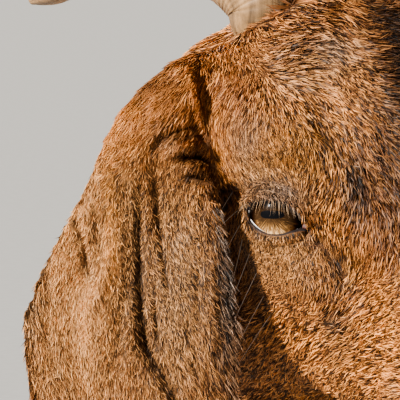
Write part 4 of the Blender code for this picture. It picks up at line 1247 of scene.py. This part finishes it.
# Lengths, widths and lifts of the hair seen from in front: place, size, length share and lift share
HAIR_PLACES = [
    ((-60, -30), (46, 80), 0.52, 0.85),
    ((-2, 9), (15, 8), 0.50, 0.80),
    ((0, -12), (16, 7), 0.55, 0.85),
    ((2, 28), (18, 14), 0.50, 1.1),
    ((8, -20), (20, 12), 0.50, 1.1),
    ((18, -10.5), (4, 3), 0.60, 0.7),
    ((24, 66), (34, 18), 1.25, 1.1),
    ((40, 20), (14, 24), 1.30, 1.1),
    ((22, -56), (24, 22), 1.20, 1.2),
    ((-20, -16), (4, 20), 1.30, 1.7),
    ((-38, 34), (9, 8), 1.20, 1.6),
    ((10, 86), (9, 8), 1.60, 2.4),
]


def hair_shares(points, head, eye):
    """How long, and how far off the skin, the hair of the face and ears is, against its usual length."""
    long, lift = np.ones(len(points)), np.ones(len(points))
    for plane, depth in both_sides(points, head, eye):
        near = smooth_step(*NEAR_EAR, depth)
        for place, size, length, rise in HAIR_PLACES:
            share = near * spot(plane, place, size)
            long = long * (1 + (length - 1) * share)
            lift = lift * (1 + (rise - 1) * share)
    return long, lift


# Places seen from in front where the strands differ less in tone: place, size and share
SOFT_PLACES = [
    ((-45, 44), (34, 24), 0.82),
    ((-14, 58), (12, 16), 0.45),
    ((44, -8), (10, 26), 0.35),
    ((-86, -26), (20, 60), 0.55),
    ((-74, -86), (34, 40), 0.45),
]


def softness(points, head, eye):
    """How even the strands' tones are, from 0 to 1."""
    soft = np.zeros(len(points))
    for plane, depth in both_sides(points, head, eye):
        near = smooth_step(*NEAR_EAR, depth)
        for place, size, most in SOFT_PLACES:
            soft = np.maximum(soft, most * spot(plane, place, size) * near)
    return soft


# How light a strand is against the coat about it, and the share of strands that are so
STRANDS = [0.05, 0.36, 1.20, 2.65]
STRAND_SHARES = [0.29, 0.23, 0.27, 0.21]
# Colour of the painted highlight on the lightest red strands
HIGHLIGHT = np.array([0.80, 0.46, 0.180])


def tuft_ways(points, normals, long, head, eye, draw):
    """The way each tuft points: along the lie of the coat, with waves, small swirls and loose tufts."""
    stray = np.stack([ripple(points, 0.006, 31 + k) for k in range(3)], axis=1)
    wave = np.stack([ripple(points, 0.024, 41 + k) for k in range(3)], axis=1)
    loose = 0.15 + 0.36 * np.clip(1 - long, 0, 0.6)
    ways = lie_of_coat(points, normals, head, eye)
    ways = ways + 0.24 * stray + 0.16 * wave + draw.normal(0, 1, points.shape) * loose[:, None]
    return unit(ways - (ways * normals).sum(1)[:, None] * normals)


def tuft_widths(points, long, zones):
    """The mean width of the tufts at each root, in metres."""
    close, on_head, on_neck = zones
    body = BODY_TUFT + (LEG_TUFT - BODY_TUFT) * leg_share(points)
    width = body * (1 - on_head) * (1 - on_neck) + NECK_TUFT * on_neck + HEAD_TUFT * on_head
    return np.where(close > 0.3, CLOSE_TUFT * np.clip(0.45 + 0.60 * long, 0, 1.1), width)


def tuft_tones(points, layer, red, even, head, eye, draw):
    """The colour of each tuft: the marking there, in light and dark strands on red hair, with painted light
    on the upper strands and a painted highlight on the lightest.
    """
    tone = markings(points, head, eye)
    clump = 0.22 * ripple(points, 0.0035, 51) + 0.50 * ripple(points, 0.0018, 53, 1)
    clump = 1 + (clump + 0.12 * ripple(points, 0.018, 52)) * red * (1 - even)
    strand = draw.choice(STRANDS, len(points), p=STRAND_SHARES) * draw.normal(1.0, 0.12, len(points))
    strand = strand * (1 - even) + 0.95 * even
    # Strands higher in the coat are made lighter: painted light on the top of the coat
    light = 1 + red * (strand * (0.62 + 0.76 * layer) - 1) + (1 - red) * draw.normal(0, 0.07, len(points))
    # The lightest red strands are mixed towards a painted highlight colour
    shine = HIGHLIGHT * np.clip(tone.max(1) / 0.42, 0, 1)[:, None]
    tone = tone * (clump * np.clip(light, 0.12, 2.2))[:, None]
    pale = (smooth_step(1.2, 2.0, light) * red * 0.40)[:, None]
    return tone * (1 - pale) + shine * pale


def fur_piece(name, roots, head, eye, material, seed, levels):
    """One piece of the coat: the tufts that grow from the given roots."""
    draw = np.random.default_rng(seed)
    points, normals = roots.points, roots.normals
    count = len(roots)
    zones = tuft_zones(points, normals, head, eye)
    close = zones[0]
    red = redness(points)
    long, rise = hair_shares(points, head, eye)
    ways = tuft_ways(points, normals, long, head, eye, draw)
    length = usual_length(roots, head, eye) * draw.uniform(0.60, 1.30, count)
    width = tuft_widths(points, long, zones) * draw.uniform(0.7, 1.4, count)
    layer = draw.uniform(size=count)
    lift = 0.00012 + length * (0.05 + (0.11 + (0.04 + 0.17 * close) * red) * layer) * rise
    droop = lift * draw.uniform(0.3, 0.8, count)
    even = np.where(close > 0.3, softness(points, head, eye), 0.45)
    tone = tuft_tones(points, layer, red, even, head, eye, draw)
    # Share of the blade's colour at its root: the painted shade there is less on white hair and where
    # strands are even
    dark = 0.18 + 0.45 * (1 - red) + 0.40 * even * red
    fur = blades(name, roots, ways, (length, width, lift, droop), tone, dark, seed, material, levels)
    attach(fur, "root")


# Eyes

CORNEA_BULGE = 0.0007


def sphere(name, segments, rings, radius):
    mesh = bpy.data.meshes.new(name)
    with edited(mesh) as shape:
        bmesh.ops.create_uvsphere(shape, u_segments=segments, v_segments=rings, radius=radius)
    return mesh


def make_ball(side, eye, material):
    """The ball of an eye, with a slightly bulging front."""
    mesh = sphere(f"eyeball_{side}", 64, 48, eye.radius)
    points = points_of(mesh)
    away = np.linalg.norm(points[:, :2], axis=1) / IRIS_RADIUS
    bulge = CORNEA_BULGE * np.where(points[:, 2] > 0, np.clip(1 - away**2 / 1.3, 0, 1), 0)
    set_points(mesh, points * (1 + bulge / eye.radius)[:, None])
    mesh.shade_smooth()
    ball = placed(f"eyeball_{side}", mesh)
    axes = Matrix((eye.ahead, eye.up, eye.ahead.cross(eye.up))).transposed()
    if axes.col[2].dot(eye.out) < 0:
        axes = Matrix((-eye.ahead, eye.up, eye.out)).transposed()
    ball.matrix_world = Matrix.Translation(eye.centre) @ axes.to_4x4()
    mesh.materials.append(material)
    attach(ball, "root")
    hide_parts(f"eye_{side}")


def heading(line, k):
    """The way a line of points runs at its k-th point."""
    return unit(line[min(k + 1, len(line) - 1)] - line[max(k - 1, 0)])


def on_side(side, points, head):
    """Points made for the right side of the head, on the side that is asked for."""
    return head.mirrored(points) if side == "left" else points


def bent(root, way, bend, length, steps):
    """Points along a hair from its root, which leaves along a way and bends on."""
    return np.array([root + (way * t + bend * t * t) * length for t in np.linspace(0, 1, steps)])


def strand_mesh(name, paths, widths, tints, material, face_way):
    """Flat tapered strands along given paths, each an array of points."""
    points, faces, colours = [], [], []
    for path, width, tint in zip(paths, widths, tints):
        start = len(points)
        steps = len(path)
        for k, centre in enumerate(path):
            side = unit(np.cross(heading(path, k), face_way))
            half = width / 2 * (1 - (k / (steps - 1)) ** 1.5 * 0.92)
            points += [centre - side * half, centre + side * half]
            colours += [tint, tint]
        for k in range(steps - 1):
            a = start + 2 * k
            faces.append((a, a + 1, a + 3, a + 2))
    obj = add_mesh(name, points, faces, material)
    paint(obj.data, np.array(colours))
    return obj


LASH_COUNT = 64
LASH_PALE = np.array([0.42, 0.28, 0.17])
LASH_DARK = np.array([0.030, 0.018, 0.012])
LASH_PALE_SHARE = 0.45
LASH_LENGTHS = (0.0034, 0.0058)
LASH_WIDTHS = (0.00010, 0.00017)


def make_lashes(side, eye, head, material):
    """Fine lashes along the upper lid, which hang down over the eye."""
    draw = np.random.default_rng(77)
    margin = lid_margin(eye)
    axis = unit(margin.mean(0))
    last = 0.40 * LID_STEPS
    paths, widths, tints = [], [], []
    for lash in range(LASH_COUNT):
        share = 0.08 + 0.86 * (lash + draw.uniform(-0.8, 0.8)) / LASH_COUNT
        root_way = turned_away(margin[int(share * last)][None], axis, draw.uniform(0.3, 2.2))[0]
        root = np.array(eye.centre) + root_way * draw.uniform(18.2, 19.2) * MM
        length = draw.uniform(*LASH_LENGTHS) * (0.50 + 0.60 * math.sin(math.pi * share) ** 0.6)
        fan = -0.35 + 0.60 * share
        start = unit(root_way * 0.35 + np.array([fan, -0.10, -0.85]) + draw.normal(0, 0.10, 3))
        fall = np.array([fan * 0.2, -0.02, -0.25])
        path = bent(root, start, fall, length, 6)
        paths.append(on_side(side, path, head))
        widths.append(draw.uniform(*LASH_WIDTHS))
        tints.append(LASH_PALE if draw.uniform() < LASH_PALE_SHARE else LASH_DARK)
    lashes = strand_mesh(f"lashes_{side}", paths, widths, tints, material, np.array([0.3, 1.0, 0.0]))
    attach(lashes, "root")


# The wet line: its thickness, and its distance from the ball's centre in millimetres
TEAR_RADIUS = 0.00035
TEAR_REACH = 16.10


def make_tear_film(side, eye, head, material):
    """The wet line where the lower lid meets the ball."""
    margin = lid_margin(eye)
    axis = unit(margin.mean(0))
    lower = margin[int(0.50 * LID_STEPS):]
    inner = np.array(eye.centre) + turned_away(lower, axis, -0.6) * TEAR_REACH * MM
    steps, sides = len(inner), 8
    points = []
    for k, centre in enumerate(inner):
        out = unit(centre - np.array(eye.centre))
        across = np.cross(heading(inner, k), out)
        share = (k + 0.5) / steps
        size = TEAR_RADIUS * math.sin(math.pi * share) ** 0.4
        size = size * (0.35 + 0.65 * smooth_step(0.22, 0.50, share))
        for turn in np.linspace(0, 2 * math.pi, sides, endpoint=False):
            points.append(centre + (out * math.cos(turn) + across * math.sin(turn)) * size)
    points = on_side(side, np.array(points), head)
    film = add_mesh(f"tear_film_{side}", points, ring_faces(steps, sides, side != "left"), material)
    film.data.shade_smooth()
    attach(film, "root")


# Half its length, width and height, and its distance from the ball's centre, in millimetres
CARUNCLE_SIZE = np.array([2.0, 1.5, 1.1])
CARUNCLE_REACH = 15.9


def make_caruncle(side, eye, head, material):
    """The small dark lump in the inner corner of the eye."""
    margin = lid_margin(eye)
    corner = margin[int(LID_STEPS * LID_CORNER / len(LID_EDGE))]
    axis = unit(margin.mean(0))
    centre = np.array(eye.centre) + turned_away(corner[None], axis, -5.0)[0] * CARUNCLE_REACH * MM
    mesh = sphere(f"caruncle_{side}", 24, 16, 1.0)
    local = points_of(mesh)
    local = local * (1 + 0.10 * ripple(local, 1.1, 8))[:, None] * CARUNCLE_SIZE * MM
    tilt = unit(np.array(eye.ahead) + np.array([0, 0, -0.45]))
    out = unit(corner)
    across = unit(np.cross(out, tilt))
    points = centre + local[:, :1] * tilt + local[:, 1:2] * out * 0.8 + local[:, 2:] * across
    set_points(mesh, on_side(side, points, head))
    mesh.shade_smooth()
    mesh.materials.append(material)
    lump = placed(f"caruncle_{side}", mesh)
    if side == "left":
        mesh.flip_normals()
    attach(lump, "root")


# Roots seen from in front, ways and lengths in millimetres
WHISKERS = [
    ((-13, -6), (-0.5, -0.85), 34), ((-12, -12), (-0.2, -0.98), 40), ((-9, -18), (-0.35, -0.93), 36),
    ((-14, 0), (-0.75, -0.6), 30), ((-6, -26), (-0.45, -0.9), 34), ((-3, -36), (-0.5, -0.85), 30),
    ((0, -44), (-0.6, -0.8), 26), ((-16, 8), (-0.55, -0.8), 26),
]
WHISKER_PALE = np.array([0.66, 0.58, 0.50])
WHISKER_WIDTH = 0.00026


def rooted(skin_tree, eye, x, z):
    """The place on the skin that is seen from in front at x and z."""
    start = np.array(eye.front) + np.array([x, -60, z]) * MM
    hit = skin_tree.ray_cast(Vector(start), Vector((0, 1, 0)))[0]
    return None if hit is None else np.array(hit)


def make_whiskers(side, head, eye, skin_tree, material):
    """A few long pale hairs that stand off the cheek behind the eye."""
    draw = np.random.default_rng(91)
    paths, widths, tints = [], [], []
    for (x, z), way, length in WHISKERS:
        root = rooted(skin_tree, eye, x, z)
        if root is None:
            continue
        outward = unit(np.array([way[0], -0.55, way[1]]))
        bend = np.array([-0.15, 0.25, -0.35]) * draw.uniform(0.6, 1.3)
        path = bent(root, outward, bend, length * MM, 12)
        paths.append(on_side(side, path, head))
        widths.append(WHISKER_WIDTH)
        tints.append(WHISKER_PALE)
    whiskers = strand_mesh(f"whiskers_{side}", paths, widths, tints, material, np.array([0.2, 1.0, 0.1]))
    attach(whiskers, "root")


FRINGE_COUNT = 620
FRINGE_GREY = np.array([0.23, 0.185, 0.155])
FRINGE_BROWN = np.array([0.24, 0.13, 0.07])
FRINGE_HEIGHTS = (-128, 4)
FRINGE_LENGTHS = (0.0036, 0.0072)
FRINGE_WIDTHS = (0.00016, 0.00026)


def make_fringe(side, head, eye, skin_tree, material):
    """Longer hairs along the front margin of the ear, which point down and forwards."""
    draw = np.random.default_rng(93)
    paths, widths, tints = [], [], []
    for hair in range(FRINGE_COUNT):
        up = draw.uniform(*FRINGE_HEIGHTS)
        x = float(np.interp(up, EAR_EDGE_UP, EAR_EDGE_X)) - 0.4 - 6.0 * draw.uniform() ** 2
        root = rooted(skin_tree, eye, x, up)
        if root is None:
            continue
        length = draw.uniform(*FRINGE_LENGTHS)
        way = unit(np.array([0.62, -0.22, -0.78]) + draw.normal(0, 0.14, 3))
        bend = np.array([-0.05, 0.05, -0.25])
        path = bent(root, way, bend, length, 5)
        paths.append(on_side(side, path, head))
        widths.append(draw.uniform(*FRINGE_WIDTHS))
        grey = smooth_step(-60, -25, up) * 0.8
        tints.append((FRINGE_GREY * grey + FRINGE_BROWN * (1 - grey)) * draw.uniform(0.5, 1.5))
    fringe = strand_mesh(f"fringe_{side}", paths, widths, tints, material, np.array([0.3, 1.0, 0.1]))
    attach(fringe, "root")


# Horns

# The right horn's middle line from the front of the right eye, in millimetres, and its radius there
HORN_PATH = [
    (3, 58, 65), (-2, 46, 82), (-4, 43, 91), (-14, 49, 102), (-32, 66, 110), (-56, 92, 111), (-79, 118, 103),
    (-94, 136, 93), (-104, 147, 87),
]
HORN_RADII = [17.0, 17.6, 18.2, 18.0, 16.4, 14.1, 11.2, 8.0, 2.2]
HORN_RINGS = 220
HORN_SIDES = 48
RIDGE_HEIGHT = 0.00030
GROOVE_DEPTH = 0.00018
HORN_FLATNESS = 0.86


def make_horn(side, head, eye, material):
    """A horn with uneven ridges across and fine grooves along it."""
    line = smooth_curve(HORN_PATH, HORN_RINGS) * MM + np.array(eye.front)
    radii = smooth_curve([(r, 0) for r in HORN_RADII], HORN_RINGS)[:, 0] * MM
    share = np.linspace(0, 1, HORN_RINGS)
    phase = 2 * math.pi * (share**0.9 * 17 + 0.35 * np.sin(share * 23))
    ridge = RIDGE_HEIGHT * smooth_step(0.10, 0.35, share) * (1 - share) ** 0.7
    ridge = ridge * (np.abs(np.sin(phase)) ** 0.6 * 2 - 1)
    points, grain = [], []
    across = head.turn @ np.array([1.0, 0, 0])
    turn = np.linspace(0, 2 * math.pi, HORN_SIDES, endpoint=False)
    for k in range(HORN_RINGS):
        ahead = heading(line, k)
        first = unit(across - ahead * (across @ ahead))
        second = np.cross(ahead, first)
        groove = GROOVE_DEPTH * np.sin(turn * 11 + 1.3 * np.sin(share[k] * 9)) * (1 - share[k])
        size = radii[k] + ridge[k] * (1 + 0.35 * np.sin(turn * 2 + share[k] * 30)) + groove
        wide = np.cos(turn)[:, None] * first * (size * HORN_FLATNESS)[:, None]
        points.append(line[k] + wide + np.sin(turn)[:, None] * second * size[:, None])
        along = np.full(HORN_SIDES, share[k] * 1.2)
        grain.append(np.stack([np.cos(turn) * 1.6, np.sin(turn) * 1.6, along], axis=1))
    points = on_side(side, np.concatenate(points), head)
    faces = ring_faces(HORN_RINGS, HORN_SIDES, side == "left")
    last = (HORN_RINGS - 1) * HORN_SIDES
    tip = tuple(range(last, last + HORN_SIDES))
    root = tuple(range(HORN_SIDES))
    faces += [tip[::-1], root] if side == "left" else [tip, root[::-1]]
    horn = add_mesh(f"horn_shape_{side}", points, faces, material)
    attribute = horn.data.attributes.new("Grain", "FLOAT_VECTOR", "POINT")
    attribute.data.foreach_set("vector", np.concatenate(grain).astype(np.float32).ravel())
    horn.data.shade_smooth()
    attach(horn, "root")
    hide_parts(f"horn_{side}")


# Udder and feet


VEIN_HEIGHT = 0.0006
VEIN_SPACING = 0.022


def make_udder(material):
    """The udder, smoothed from its solid, with a few veins."""
    udder = remeshed(joined("udder_skin", ["udder"]), UDDER_VOXEL, UDDER_ROUNDS)
    points, normals = points_of(udder.data), normals_of(udder.data)
    veins = VEIN_HEIGHT * ripple(points, VEIN_SPACING, 61, 3)
    set_points(udder.data, points + normals * (veins - PUFF)[:, None])
    udder.data.shade_smooth()
    udder.data.materials.append(material)
    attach(udder, "root")
    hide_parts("udder")


CLAW_ROUNDING = 0.0012


def dress_claws(nodes, material):
    """Claws and dewclaws keep their solids' shapes, with rounded edges."""
    for name, obj in nodes.items():
        if "claw" in name:
            obj.data.materials.clear()
            obj.data.materials.append(material)
            bevel = obj.modifiers.new("bevel", "BEVEL")
            bevel.width = CLAW_ROUNDING
            bevel.segments = 2


# Stage


FLOOR_REACH = 60
SKY_COLOUR = (0.92, 0.95, 1.0, 1)
SKY_STRENGTH = 0.17


def make_stage():
    """A wide floor and an even pale sky."""
    corners = [(x * FLOOR_REACH, y * FLOOR_REACH, 0) for x, y in ((-1, -1), (1, -1), (1, 1), (-1, 1))]
    floor = add_mesh("floor", corners, [(0, 1, 2, 3)], floor_material())
    world = bpy.data.worlds.new("studio")
    bpy.context.scene.world = world
    world.use_nodes = True
    sky = world.node_tree.nodes["Background"]
    sky.inputs["Color"].default_value = SKY_COLOUR
    sky.inputs["Strength"].default_value = SKY_STRENGTH
    bpy.context.scene.view_settings.look = "AgX - Medium High Contrast"


def area_light(name, place, target, size, power):
    """A square light that looks from its place to the target."""
    data = bpy.data.lights.new(name, "AREA")
    data.size = size
    data.energy = power
    light = placed(name, data)
    light.location = place
    light.rotation_euler = (Vector(target) - Vector(place)).to_track_quat("-Z", "Y").to_euler()


# The key light: where it comes from, its strength, its apparent size and its colour
KEY_FROM = Vector((-0.78, -0.42, 0.46))
KEY_ENERGY = 11.5
KEY_ANGLE = math.radians(6)
KEY_COLOUR = (1.0, 0.95, 0.87)


def make_lights(eye):
    """A warm key from the goat's upper right, and weaker lights from the other side and behind."""
    data = bpy.data.lights.new("key", "SUN")
    data.energy = KEY_ENERGY
    data.angle = KEY_ANGLE
    data.color = KEY_COLOUR
    key = placed("key", data)
    key.rotation_euler = (-KEY_FROM).to_track_quat("-Z", "Y").to_euler()
    area_light("fill", (2.2, -2.4, 1.4), eye.front, size=1.6, power=6)
    area_light("rim", (-1.2, 2.4, 2.4), (0, 0, 0.7), size=1.2, power=50)
    area_light("body", (2.0, 0.6, 2.6), (0, 0.1, 0.5), size=1.8, power=45)


def make_camera(eye):
    """The photograph's view, from straight in front and slightly above."""
    target = eye.front + FRAME_CENTRE
    data = bpy.data.cameras.new("camera")
    camera = placed("camera", data)
    back = Vector((0, -math.cos(CAMERA_RISE), math.sin(CAMERA_RISE)))
    camera.location = target + back * CAMERA_DISTANCE
    camera.rotation_euler = (-back).to_track_quat("-Z", "Y").to_euler()
    data.sensor_width = SENSOR
    data.lens = SENSOR * CAMERA_DISTANCE / FRAME_WIDTH
    data.clip_end = 200
    bpy.context.scene.camera = camera


def paint_skin(skin, head, eye):
    """The coat's markings on the skin, darkened as painted shade under the fur, but not where the skin is
    bare.
    """
    points = points_of(skin.data)
    # Painted shade: the skin under the fur is darker, most under red hair
    under = 0.60 - 0.28 * redness(points)
    bare = np.maximum(lid_bareness(points, eye), lid_bareness(head.mirrored(points), eye))
    under = np.maximum(under, np.maximum(bare, nose_bareness(head.to_head(points))))
    paint(skin.data, markings(points, head, eye) * under[:, None])


def dress(nodes):
    """Adds everything that shows round the frame's nodes."""
    eyes = {side: Eye(side) for side in SIDES}
    eye = eyes["right"]
    head = Head(eye.centre)
    make_camera(eye)
    make_stage()
    make_lights(eye)
    skin, plain = make_skin(head, eye, eyes["left"], coat_material("skin", 0.7, True))
    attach(skin, "root")
    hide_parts(*dict.fromkeys(HEAD_NODES + BODY_NODES))
    paint_skin(skin, head, eye)
    fur = coat_material("fur", 0.55, False)
    make_fur(skin, plain, head, eye, fur)
    tree = BVHTree.FromObject(skin, bpy.context.evaluated_depsgraph_get())
    ball = eye_material()
    caruncle = wet_material("caruncle", (0.075, 0.020, 0.016), 0.6, 0.0)
    horn = horn_material("horn_keratin", (0.275, 0.172, 0.088), (0.10, 0.062, 0.034), 3.0)
    # The wet line's near-white colour is a painted highlight along the lower lid
    film = wet_material("tear_film", (0.90, 0.87, 0.84), 0.10)
    for side in SIDES:
        make_ball(side, eyes[side], ball)
        make_lashes(side, eye, head, fur)
        make_tear_film(side, eye, head, film)
        make_caruncle(side, eye, head, caruncle)
        make_whiskers(side, head, eye, tree, fur)
        make_fringe(side, head, eye, tree, fur)
        make_horn(side, head, eye, horn)
    make_udder(wet_material("udder_bare", (0.55, 0.33, 0.27), 0.55))
    dress_claws(nodes, claw_material())


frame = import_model()
dress(frame["nodes"])
